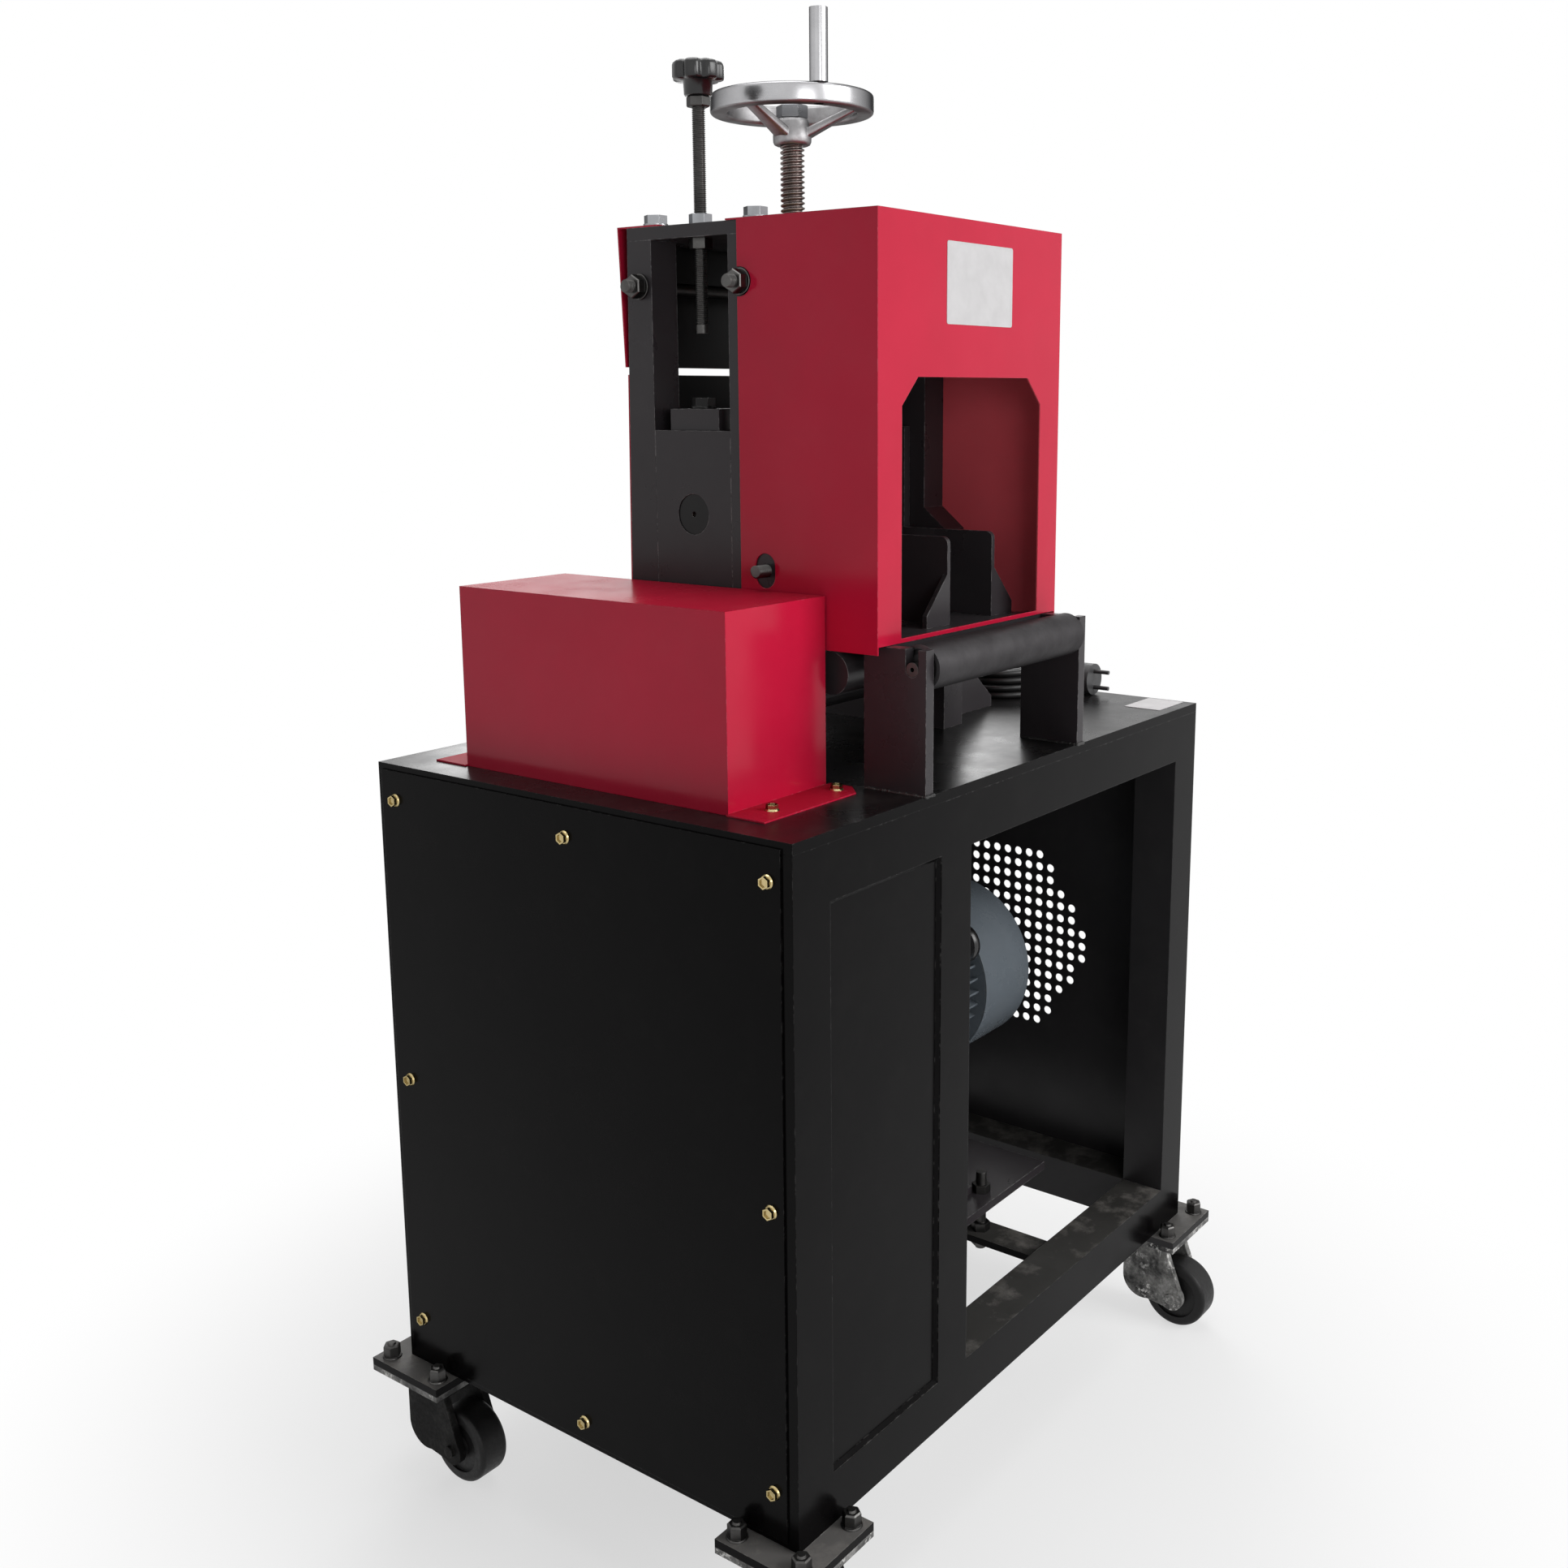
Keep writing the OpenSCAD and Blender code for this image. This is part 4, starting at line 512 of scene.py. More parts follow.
REDUCER_PAINT = Paint("reducer_enamel", (0.06, 0.066, 0.07), (0.045, 0.05, 0.053), roughness=(0.4, 0.55), wear_and_highlight=0.3)
ZINC = Metal("yellow_zinc", (0.62, 0.51, 0.27), (0.46, 0.36, 0.17), (0.1, 0.22), rim_shade_painted=0.75, edge=0.4 * MM)
DARK_STEEL = Metal("blackened_steel", (0.105, 0.103, 0.10), (0.05, 0.048, 0.047), (0.26, 0.44), rim_shade_painted=0.5)
OILED_STEEL = Metal("oiled_steel", (0.22, 0.19, 0.178), (0.12, 0.10, 0.094), (0.26, 0.42))
BRIGHT_STEEL = Metal("plated_steel", (0.34, 0.35, 0.365), (0.22, 0.225, 0.235), (0.2, 0.36), rim_shade_painted=0.6)
ROLLER_STEEL = Metal("roller_steel", (0.078, 0.074, 0.077), (0.052, 0.049, 0.051), (0.38, 0.55),
                     (400.0, 40.0, 40.0))
CHROME = Metal("polished_chrome", (0.46, 0.458, 0.468), (0.40, 0.398, 0.408), (0.16, 0.24), grain_depth=0.03,
               rim_shade_painted=0.8)
CAST_ALLOY = Metal("cast_alloy", (0.42, 0.415, 0.42), (0.24, 0.235, 0.24), (0.34, 0.5), (420.0, 420.0, 420.0), 0.5,
                   rim_shade_painted=0.6)
BRONZE = Metal("turned_bronze", (0.48, 0.33, 0.13), (0.34, 0.22, 0.09), (0.25, 0.4))
PULLEY_IRON = Metal("pulley_iron", (0.24, 0.24, 0.25), (0.16, 0.16, 0.165), (0.35, 0.5))
CASTER_IRON = Casting("caster_iron", (0.012, 0.0116, 0.0115), (0.46, 0.455, 0.44), chips=0.72, flat_chips=0.8,
                      gloss=0.3, flecks=(0.72, 0.71, 0.69))
FORK_BLACK = Casting("fork_black", (0.006, 0.0057, 0.0057), (0.14, 0.137, 0.132), chips=0.4, flat_chips=0.3,
                     gloss=0.06)
WHEEL_IRON = Casting("wheel_iron", (0.007, 0.0066, 0.0068), (0.06, 0.058, 0.056), (0.35, 0.6), chips=0.25,
                     gloss=0.25)
BLACK_PLASTIC = Moulded("black_plastic", (0.0075, 0.0073, 0.0078), (0.011, 0.0108, 0.0114), (0.2, 0.34), gloss=0.5)
BELT_RUBBER = Moulded("belt_rubber", (0.010, 0.010, 0.010), (0.018, 0.017, 0.016), (0.55, 0.75), 500.0, 0.2)
CORD_RUBBER = Moulded("cord_rubber", (0.007, 0.007, 0.0074), (0.013, 0.0125, 0.012), (0.34, 0.5), 700.0, 0.1,
                      gloss=0.3)
PLUG_PLASTIC = Moulded("plug_plastic", (0.06, 0.06, 0.062), (0.045, 0.045, 0.047), (0.35, 0.5), gloss=0.3)
PLATE_FILM = Moulded("blank_film", (0.58, 0.57, 0.575), (0.52, 0.51, 0.515), (0.3, 0.42), 400.0, 0.04, gloss=0.3)
WELD_STEEL = Casting("weld_bead", (0.009, 0.0086, 0.0086), (0.07, 0.067, 0.064), (0.3, 0.5), chips=0.6, gloss=0.4)

# Finish of each CAD node
NODE_FINISH: dict[Finish, tuple[str, ...]] = {
    BLACK_PAINT: ("cabinet_frame", "left_panel", "right_panel", "back_panel", "front_panel"),
    # The head's parts take the lighter black with painted sheen and painted edge highlights
    HEAD_PAINT_PAINTED_SHEEN: ("stand_left", "stand_right", "top_plate", "slide_blocks", "crosshead", "infeed_bed", "guide_left",
                 "guide_right", "roller_brackets", "motor_plate", "motor_stool"),
    TABLE_PAINT: ("table_plate",),
    RED_PAINT: ("belt_guard", "hood", "rear_covers"),
    MOTOR_PAINT: ("motor", "fan_cowl"),
    REDUCER_PAINT: ("reducer", "drum_bearings"),
    ZINC: ("zinc_screws",),
    DARK_STEEL: ("hex_bolts", "plate_rods", "tie_rods", "idler_axle", "stop_foot"),
    SHAFT_BLACK: ("crosshead_bolts",),
    OILED_STEEL: ("blade_shaft",),
    BRIGHT_STEEL: ("blade", "stop_nuts"),
    ROLLER_STEEL: ("drum", "idler_roller"),
    CHROME: ("handwheel", "wheel_handle"),
    BRONZE: ("screw_nut",),
    PULLEY_IRON: ("drive_pulley", "driven_pulley"),
    CASTER_IRON: ("caster_plates", "fork_front_right"),
    FORK_BLACK: ("fork_front_left", "fork_back_left", "fork_back_right"),
    WHEEL_IRON: ("wheel_front_left", "wheel_front_right", "wheel_back_left", "wheel_back_right"),
    BLACK_PLASTIC: ("motor_fan", "capacitor", "star_knob", "cord_gland"),
    BELT_RUBBER: ("belts",),
    PLUG_PLASTIC: ("plug",),
}


class Finishes:
    """Builds each finish once and hands it out."""

    def __init__(self) -> None:
        """Starts with no material built."""
        self.built: dict[str, bpy.types.Material] = {}

    def get(self, finish: Finish) -> bpy.types.Material:
        """Gives a finish's material.

        Args:
            finish: One of the finishes above.

        Returns:
            The material, made on first use.
        """
        if finish.name not in self.built:
            self.built[finish.name] = finish.build()
        return self.built[finish.name]

    def dress_nodes(self, nodes: dict[str, bpy.types.Object]) -> None:
        """Puts a finish on every CAD node.

        Args:
            nodes: The frame's nodes by name.
        """
        for finish, names in NODE_FINISH.items():
            for name in names:
                mesh = nodes[name].data
                mesh.materials.clear()
                mesh.materials.append(self.get(finish))
        self.dress_faces(nodes["hex_bolts"].data, BRIGHT_STEEL, lambda face: face.center.z > PLATED_FROM)
        # Inner faces of the rear covers take the red with painted shade between the stands
        self.dress_faces(nodes["rear_covers"].data, COVER_INSIDE_PAINTED_SHADE, lambda face: face.normal.y < -FACING)
        # Upward faces of the red parts take the darker red as painted shade
        for name in ("belt_guard", "hood", "rear_covers"):
            self.dress_faces(nodes[name].data, RED_TOP_PAINTED_SHADE, lambda face: face.normal.z > FACING)
        # Inner side of the right panel: lighter black as painted sheen
        self.dress_faces(nodes["right_panel"].data, PAINTED_SHEEN_BLACK, lambda face: face.normal.x < -FACING)
        # The hood's inner faces take the lighter red as painted light
        self.dress_faces(nodes["hood"].data, HOOD_INSIDE_PAINTED_LIGHT,
                         lambda face: face.normal.x * (face.center.x - HEAD.x) < -HOOD_INWARD)
        self.dress_faces(nodes["table_plate"].data, BLACK_PAINT, lambda face: abs(face.normal.z) < FACING)
        # The lower stop nut takes the darker steel as painted shade
        self.dress_faces(nodes["stop_nuts"].data, DARK_STEEL, lambda face: face.center.z < STOP_NUT_SHADE_PAINTED_BELOW)
        self.dress_faces(nodes["blade_shaft"].data, SHAFT_BLACK, lambda face: abs(face.normal.x) > SQUARE_ON)
        # Inner sides of the right posts: lighter black as painted sheen
        self.dress_faces(nodes["cabinet_frame"].data, PAINTED_SHEEN_BLACK,
                         lambda face: face.normal.x < -FACING and face.center.x > RIGHT_POSTS_FROM)
        self.dress_faces(nodes["cabinet_frame"].data, DUSTY_PAINT,
                         lambda face: face.normal.z > FACING and face.center.z < DUSTY_BELOW)
        self.dress_faces(nodes["cabinet_frame"].data, CASTER_TOP,
                         lambda face: face.normal.z > FACING and face.center.z < PADS_BELOW)

    def dress_faces(self, mesh: bpy.types.Mesh, finish: Finish,
                    chosen: Callable[[bpy.types.MeshPolygon], bool]) -> None:
        """Gives some faces of a node a second finish.

        Args:
            mesh: The node's mesh.
            finish: The second finish.
            chosen: Tells whether a face takes it.
        """
        mesh.materials.append(self.get(finish))
        second = len(mesh.materials) - 1
        for face in mesh.polygons:
            if chosen(face):
                face.material_index = second


def add_object(name: str, data: bpy.types.ID) -> bpy.types.Object:
    """Links a new object at the origin.

    Args:
        name: Name of the piece.
        data: Its mesh, curve, lamp or camera.

    Returns:
        The object.
    """
    piece = bpy.data.objects.new(name, data)
    bpy.context.scene.collection.objects.link(piece)
    return piece


def mesh_object(name: str, work: bmesh.types.BMesh, material: bpy.types.Material,
                smooth: bool = False) -> bpy.types.Object:
    """Turns a mesh under construction into a piece.

    Args:
        name: Name of the piece.
        work: The mesh, freed here.
        material: Its finish.
        smooth: Whether its faces are shaded smooth.

    Returns:
        The piece.
    """
    mesh = bpy.data.meshes.new(name)
    work.normal_update()
    work.to_mesh(mesh)
    work.free()
    mesh.materials.append(material)
    for face in mesh.polygons:
        face.use_smooth = smooth
    return add_object(name, mesh)


class NodeTree:
    """A geometry node tree with named inputs that is turned into a plain mesh."""

    def __init__(self, name: str) -> None:
        """Starts a tree with a geometry input and output.

        Args:
            name: Name of the tree.
        """
        self.tree = bpy.data.node_groups.new(name, "GeometryNodeTree")
        self.inputs: dict[str, str] = {}
        self.tree.interface.new_socket("Geometry", in_out="INPUT", socket_type="NodeSocketGeometry")
        self.tree.interface.new_socket("Geometry", in_out="OUTPUT", socket_type="NodeSocketGeometry")
        self.group_in = self.tree.nodes.new("NodeGroupInput")
        self.group_out = self.tree.nodes.new("NodeGroupOutput")

    def number(self, name: str, kind: str = "NodeSocketFloat") -> None:
        """Adds a named input.

        Args:
            name: Name of the input.
            kind: Blender's name of the socket type.
        """
        socket = self.tree.interface.new_socket(name, in_out="INPUT", socket_type=kind)
        self.inputs[name] = socket.identifier

    def value(self, name: str) -> Socket:
        """Gives a named input's socket inside the tree.

        Args:
            name: Name of the input.

        Returns:
            The socket.
        """
        return self.group_in.outputs[name]

    def add(self, kind: str, **settings: object) -> bpy.types.Node:
        """Adds a node with its properties set.

        Args:
            kind: Blender's name of the node type.
            settings: Properties of the node.

        Returns:
            The new node.
        """
        node = self.tree.nodes.new(kind)
        for key, value in settings.items():
            setattr(node, key, value)
        return node

    def link(self, source: Socket, target: Socket) -> None:
        """Joins two sockets.

        Args:
            source: Socket that gives the value.
            target: Socket that takes it.
        """
        self.tree.links.new(source, target)

    def math(self, operation: str, *values: object) -> Socket:
        """Combines numbers or sockets.

        Args:
            operation: Blender's name of the operation.
            values: The operands.

        Returns:
            The result's socket.
        """
        node = self.add("ShaderNodeMath", operation=operation)
        for socket, value in zip(node.inputs, values):
            if isinstance(value, (int, float)):
                socket.default_value = value
            else:
                self.link(value, socket)
        return node.outputs[0]

    def finish(self, geometry: Socket, material: bpy.types.Material) -> None:
        """Ends the tree with real geometry that has its finish.

        Args:
            geometry: What the tree has made.
            material: Its finish.
        """
        realize = self.add("GeometryNodeRealizeInstances")
        dress = self.add("GeometryNodeSetMaterial")
        dress.inputs["Material"].default_value = material
        self.link(geometry, realize.inputs["Geometry"])
        self.link(realize.outputs["Geometry"], dress.inputs["Geometry"])
        self.link(dress.outputs["Geometry"], self.group_out.inputs["Geometry"])

    def bake(self, name: str, seed_mesh: bpy.types.Mesh, values: dict[str, float], place: Matrix) -> bpy.types.Object:
        """Runs the tree on a mesh and keeps the plain result.

        Args:
            name: Name of the piece.
            seed_mesh: Mesh that goes in.
            values: Value of each named input.
            place: Where the result goes.

        Returns:
            The piece, at the origin with its place in its mesh.
        """
        piece = add_object(name, seed_mesh)
        modifier = piece.modifiers.new("shape", "NODES")
        modifier.node_group = self.tree
        for key, value in values.items():
            modifier[self.inputs[key]] = value
        bpy.context.view_layer.update()
        evaluated = piece.evaluated_get(bpy.context.evaluated_depsgraph_get())
        mesh = bpy.data.meshes.new_from_object(evaluated)
        piece.modifiers.clear()
        mesh.transform(place)
        piece.data = mesh
        return piece


@dataclass
class Camera:
    """The photograph's viewpoint."""

    place: Vector = field(default_factory=lambda: Vector((-1366.5, -1034.4, 1111.1)) * MM)
    heading_deg: float = 53.584
    tilt_deg: float = -10.606
    roll_deg: float = -0.159
    lens_mm: float = 37.887
    sensor_mm: float = 36.0
    shift: tuple[float, float] = (-0.0430, -0.0515)
    clip_end: float = 50.0

    def build(self) -> bpy.types.Object:
        """Makes the scene's camera.

        Returns:
            The camera object.
        """
        data = bpy.data.cameras.new("camera")
        data.sensor_width = self.sensor_mm
        data.lens = self.lens_mm
        data.shift_x, data.shift_y = self.shift
        data.clip_end = self.clip_end
        camera = add_object("camera", data)
        turn = Matrix.Rotation(math.radians(-self.heading_deg), 4, "Z")
        tip = Matrix.Rotation(math.radians(90 + self.tilt_deg), 4, "X")
        roll = Matrix.Rotation(math.radians(self.roll_deg), 4, "Z")
        camera.matrix_world = Matrix.Translation(self.place) @ turn @ tip @ roll
        bpy.context.scene.camera = camera
        return camera


@dataclass(frozen=True)
class Lamp:
    """A soft square lamp that faces a point."""

    name: str
    place: Triple
    size: float
    watts: float
    target: Triple = (0.0, 0.0, 0.75)

    def build(self) -> None:
        """Hangs the lamp in the scene."""
        data = bpy.data.lights.new(self.name, "AREA")
        data.size = self.size
        data.energy = self.watts
        lamp = add_object(self.name, data)
        facing = (Vector(self.target) - Vector(self.place)).to_track_quat("-Z", "Y")
        lamp.matrix_world = Matrix.Translation(self.place) @ facing.to_matrix().to_4x4()


LAMPS = (
    Lamp("key", (0.8, -3.2, 2.2), 2.0, 86),
    Lamp("mouth", (-1.8, -2.8, 1.4), 1.2, 16, target=(-0.04, -0.1, 1.0)),
    Lamp("side", (-3.4, -0.8, 1.8), 2.2, 3),
    Lamp("top", (0.2, 0.4, 3.6), 2.5, 45),
    Lamp("back", (2.6, 2.4, 2.2), 2.0, 40),
)


@dataclass
class Studio:
    """Pale floor, white surroundings and soft lamps."""

    floor_half: float = 6.0
    floor_colour: Colour = (0.88, 0.88, 0.88)
    floor_rough: float = 0.8
    floor_gloss: float = 0.1
    world_level: float = 0.18
    shadow_reach: tuple[float, float] = (0.45, 1.0)
    shadow_veil: float = 0.6

    def white_for_camera(self, tree: bpy.types.NodeTree, inner: Socket,
                         outlet: Socket, white: Socket) -> None:
        """Shows one shader to the camera, to mirrors and through glass, and another to the rest.

        Args:
            tree: Node tree to add to.
            inner: Shader for all other light.
            outlet: Socket that takes the mixed shader.
            white: The pale shader.
        """
        path = tree.nodes.new("ShaderNodeLightPath")
        first = tree.nodes.new("ShaderNodeMath")
        first.operation = "MAXIMUM"
        second = tree.nodes.new("ShaderNodeMath")
        second.operation = "MAXIMUM"
        mix = tree.nodes.new("ShaderNodeMixShader")
        tree.links.new(path.outputs["Is Camera Ray"], first.inputs[0])
        tree.links.new(path.outputs["Is Glossy Ray"], first.inputs[1])
        tree.links.new(first.outputs[0], second.inputs[0])
        tree.links.new(path.outputs["Is Transmission Ray"], second.inputs[1])
        tree.links.new(second.outputs[0], mix.inputs["Fac"])
        tree.links.new(inner, mix.inputs[1])
        tree.links.new(white, mix.inputs[2])
        tree.links.new(mix.outputs[0], outlet)

    def build_world(self) -> None:
        """Lights the scene with an even pale surround."""
        world = bpy.data.worlds.new("surround")
        world.use_nodes = True
        tree = world.node_tree
        tree.nodes.clear()
        dim = tree.nodes.new("ShaderNodeBackground")
        dim.inputs["Color"].default_value = (1, 1, 1, 1)
        dim.inputs["Strength"].default_value = self.world_level
        white = tree.nodes.new("ShaderNodeBackground")
        white.inputs["Color"].default_value = (1, 1, 1, 1)
        output = tree.nodes.new("ShaderNodeOutputWorld")
        self.white_for_camera(tree, dim.outputs[0], output.inputs["Surface"], white.outputs[0])
        bpy.context.scene.world = world

    def build_floor(self) -> bpy.types.Object:
        """Makes the pale floor.

        Returns:
            The floor, marked as stage.
        """
        work = bmesh.new()
        bmesh.ops.create_grid(work, x_segments=1, y_segments=1, size=self.floor_half)
        material = bpy.data.materials.new("pale_floor")
        material.use_nodes = True
        tree = material.node_tree
        shader = tree.nodes["Principled BSDF"]
        shader.inputs["Base Color"].default_value = (*self.floor_colour, 1)
        shader.inputs["Roughness"].default_value = self.floor_rough
        shader.inputs["Specular IOR Level"].default_value = self.floor_gloss
        glow = tree.nodes.new("ShaderNodeEmission")
        coords = tree.nodes.new("ShaderNodeTexCoord")
        reach = tree.nodes.new("ShaderNodeVectorMath")
        reach.operation = "LENGTH"
        fade = tree.nodes.new("ShaderNodeMapRange")
        fade.interpolation_type = "SMOOTHSTEP"
        fade.inputs["From Min"].default_value = self.shadow_reach[0]
        fade.inputs["From Max"].default_value = self.shadow_reach[1]
        fade.inputs["To Min"].default_value = self.shadow_veil
        blend = tree.nodes.new("ShaderNodeMixShader")
        tree.links.new(coords.outputs["Object"], reach.inputs[0])
        tree.links.new(reach.outputs["Value"], fade.inputs["Value"])
        tree.links.new(fade.outputs["Result"], blend.inputs["Fac"])
        tree.links.new(shader.outputs["BSDF"], blend.inputs[1])
        tree.links.new(glow.outputs[0], blend.inputs[2])
        outlet = tree.nodes["Material Output"].inputs["Surface"]
        self.white_for_camera(tree, shader.outputs["BSDF"], outlet, blend.outputs[0])
        floor = mesh_object("floor", work, material)
        return floor

    def build(self) -> None:
        """Builds the surround, the floor and the lamps."""
        bpy.context.scene.view_settings.view_transform = "Standard"
        self.build_world()
        self.build_floor()
        for lamp in LAMPS:
            lamp.build()


@dataclass
class PowerCord:
    """The mains lead: out of the gland, over to the coil on the table and on to the plug.

    The sizes and the chosen points repeat those of the CAD source.
    """

    finishes: Finishes
    diameter: float = 8 * MM
    coil_mid: tuple[float, float] = (303 * MM, -34 * MM)
    coil_r: float = 50 * MM
    pitch: float = 8.6 * MM
    start_deg: float = 45.0
    turns_a_layer: int = 2
    layers: int = 4
    lead_run: float = 165 * MM
    rest: float = 4.1 * MM
    plug_rest: float = 18.6 * MM
    climb_turns: float = 0.5
    steps_a_turn: int = 40
    steps_a_span: int = 5
    ring_resolution: int = 4
    relief_l: float = 34 * MM
    relief_r: float = 6.6 * MM
    relief_rib: float = 0.5 * MM
    relief_gap: float = 0.4 * MM
    relief_sides: int = 24
    lead_points: tuple[tuple[float, float], ...] = (
        (0, 20), (0, 34), (5, 52), (18, 65), (36, 70), (54, 65), (67, 52), (76, 37), (85, 22), (98, 9),
        (116, 4.1), (134, 4.1), (149, 4.1), (157, 4.1),
    )
    tail_points: tuple[tuple[float, float], ...] = ((0, 1), (10, 0.93), (18, 0.75), (26, 0.25), (34, 0.07), (44, 0))

    def coil_radius(self, turn: float) -> float:
        """Gives the coil's radius after a number of turns.

        Args:
            turn: Turns from the coil's start.

        Returns:
            The radius.
        """
        whole = self.turns_a_layer * self.layers
        if turn > whole:
            return self.coil_r + (turn - whole) * self.pitch
        fold = abs((turn + self.turns_a_layer) % (2 * self.turns_a_layer) - self.turns_a_layer)
        return self.coil_r - fold * self.pitch

    def coil_height(self, turn: float) -> float:
        """Gives the coil's height after a number of turns.

        Args:
            turn: Turns from the coil's start.

        Returns:
            Height of the centreline over the table.
        """
        climb = 0.0
        for layer in range(1, self.layers):
            begun = turn - self.turns_a_layer * layer + self.climb_turns / 2
            climb += min(1.0, max(0.0, begun / self.climb_turns))
        return self.rest + self.pitch * climb

    def coil_point(self, turn: float) -> Vector:
        """Gives a point of the coil, over the table.

        Args:
            turn: Turns from the coil's start.

        Returns:
            The point.
        """
        angle = math.radians(self.start_deg - 360 * turn)
        radius = self.coil_radius(turn)
        return Vector((self.coil_mid[0] + radius * math.cos(angle), self.coil_mid[1] + radius * math.sin(angle),
                       self.coil_height(turn)))

    @staticmethod
    def rounded(points: list[Vector], steps: int) -> list[Vector]:
        """Runs a smooth line through chosen points.

        Args:
            points: The chosen points.
            steps: Stretches between two of them.

        Returns:
            The points of the smooth line.
        """
        line: list[Vector] = []
        last = len(points) - 1
        for i in range(last):
            before, a, b, after = points[max(i - 1, 0)], points[i], points[i + 1], points[min(i + 2, last)]
            for k in range(steps):
                t = k / steps
                line.append(0.5 * (2 * a + (b - before) * t + (2 * before - 5 * a + 4 * b - after) * t ** 2
                                   + (3 * a - before - 3 * b + after) * t ** 3))
        line.append(points[last])
        return line

    def route(self) -> list[Vector]:
        """Lays the cord's whole centreline.

        Returns:
            Its points in the machine's frame, from the gland to the plug.
        """
        start = math.radians(self.start_deg)
        heading = Vector((math.sin(start), -math.cos(start), 0))
        entry = self.coil_point(0)
        gland = entry - self.lead_run * heading
        lead = [Vector((gland.x, gland.y, 0)) + s * MM * heading + Vector((0, 0, z * MM)) for s, z in self.lead_points]
        end_turn = self.turns_a_layer * self.layers + self.start_deg / 360
        count = round(end_turn * self.steps_a_turn)
        coil = [self.coil_point(end_turn * i / count) for i in range(count + 1)]
        leave = coil[-1] + Vector((0, -self.diameter, 0))
        drop = leave.z - self.plug_rest
        tail = [Vector((leave.x, leave.y - s * MM, self.plug_rest + drop * share)) for s, share in self.tail_points]
        points = self.rounded(lead, self.steps_a_span) + coil + self.rounded(tail, self.steps_a_span)
        return [p + Vector((0, CABINET_Y, TABLE_TOP)) for p in points]

    def build_relief(self, points: list[Vector]) -> bpy.types.Object:
        """Makes the ribbed, tapered sleeve where the cord leaves the gland.

        Args:
            points: The cord's centreline from the gland on.

        Returns:
            The sleeve.
        """
        work = bmesh.new()
        rings = []
        run = 0.0
        for i, point in enumerate(points):
            run += (point - points[i - 1]).length if i else 0.0
            if run > self.relief_l:
                break
            along = (points[i + 1] - points[max(i - 1, 0)]).normalized()
            side = along.cross(Vector((0, 1, 0))).normalized()
            other = along.cross(side)
            rib = self.relief_rib if i % 2 else 0.0
            tip_r = self.diameter / 2 + self.relief_gap
            radius = self.relief_r + (tip_r - self.relief_r) * run / self.relief_l + rib
            ring = []
            for k in range(self.relief_sides):
                turn = 2 * math.pi * k / self.relief_sides
                ring.append(work.verts.new(point + radius * (math.cos(turn) * side + math.sin(turn) * other)))
            rings.append(ring)
        skin_rings(work, rings)
        bmesh.ops.recalc_face_normals(work, faces=work.faces)
        sleeve = mesh_object("strain_relief", work, self.finishes.get(CORD_RUBBER), smooth=True)
        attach(sleeve, Body.CABINET.value)
        return sleeve

    def build(self, nodes: dict[str, bpy.types.Object]) -> bpy.types.Object:
        """Args:
            nodes: The frame's nodes by name. Not used.

        Returns:
            The cord's curve.
        """
        points = self.route()
        curve = bpy.data.curves.new("power_cord", "CURVE")
        curve.dimensions = "3D"
        curve.bevel_depth = self.diameter / 2
        curve.bevel_resolution = self.ring_resolution
        curve.use_fill_caps = True
        spline = curve.splines.new("POLY")
        spline.points.add(len(points) - 1)
        for knot, point in zip(spline.points, points):
            knot.co = (*point, 1.0)
        spline.use_smooth = True
        curve.materials.append(self.finishes.get(CORD_RUBBER))
        cord = add_object("power_cord", curve)
        self.build_relief(points)
        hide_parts("cord_lead", "cord_coil")
        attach(cord, Body.CABINET.value)
        return cord


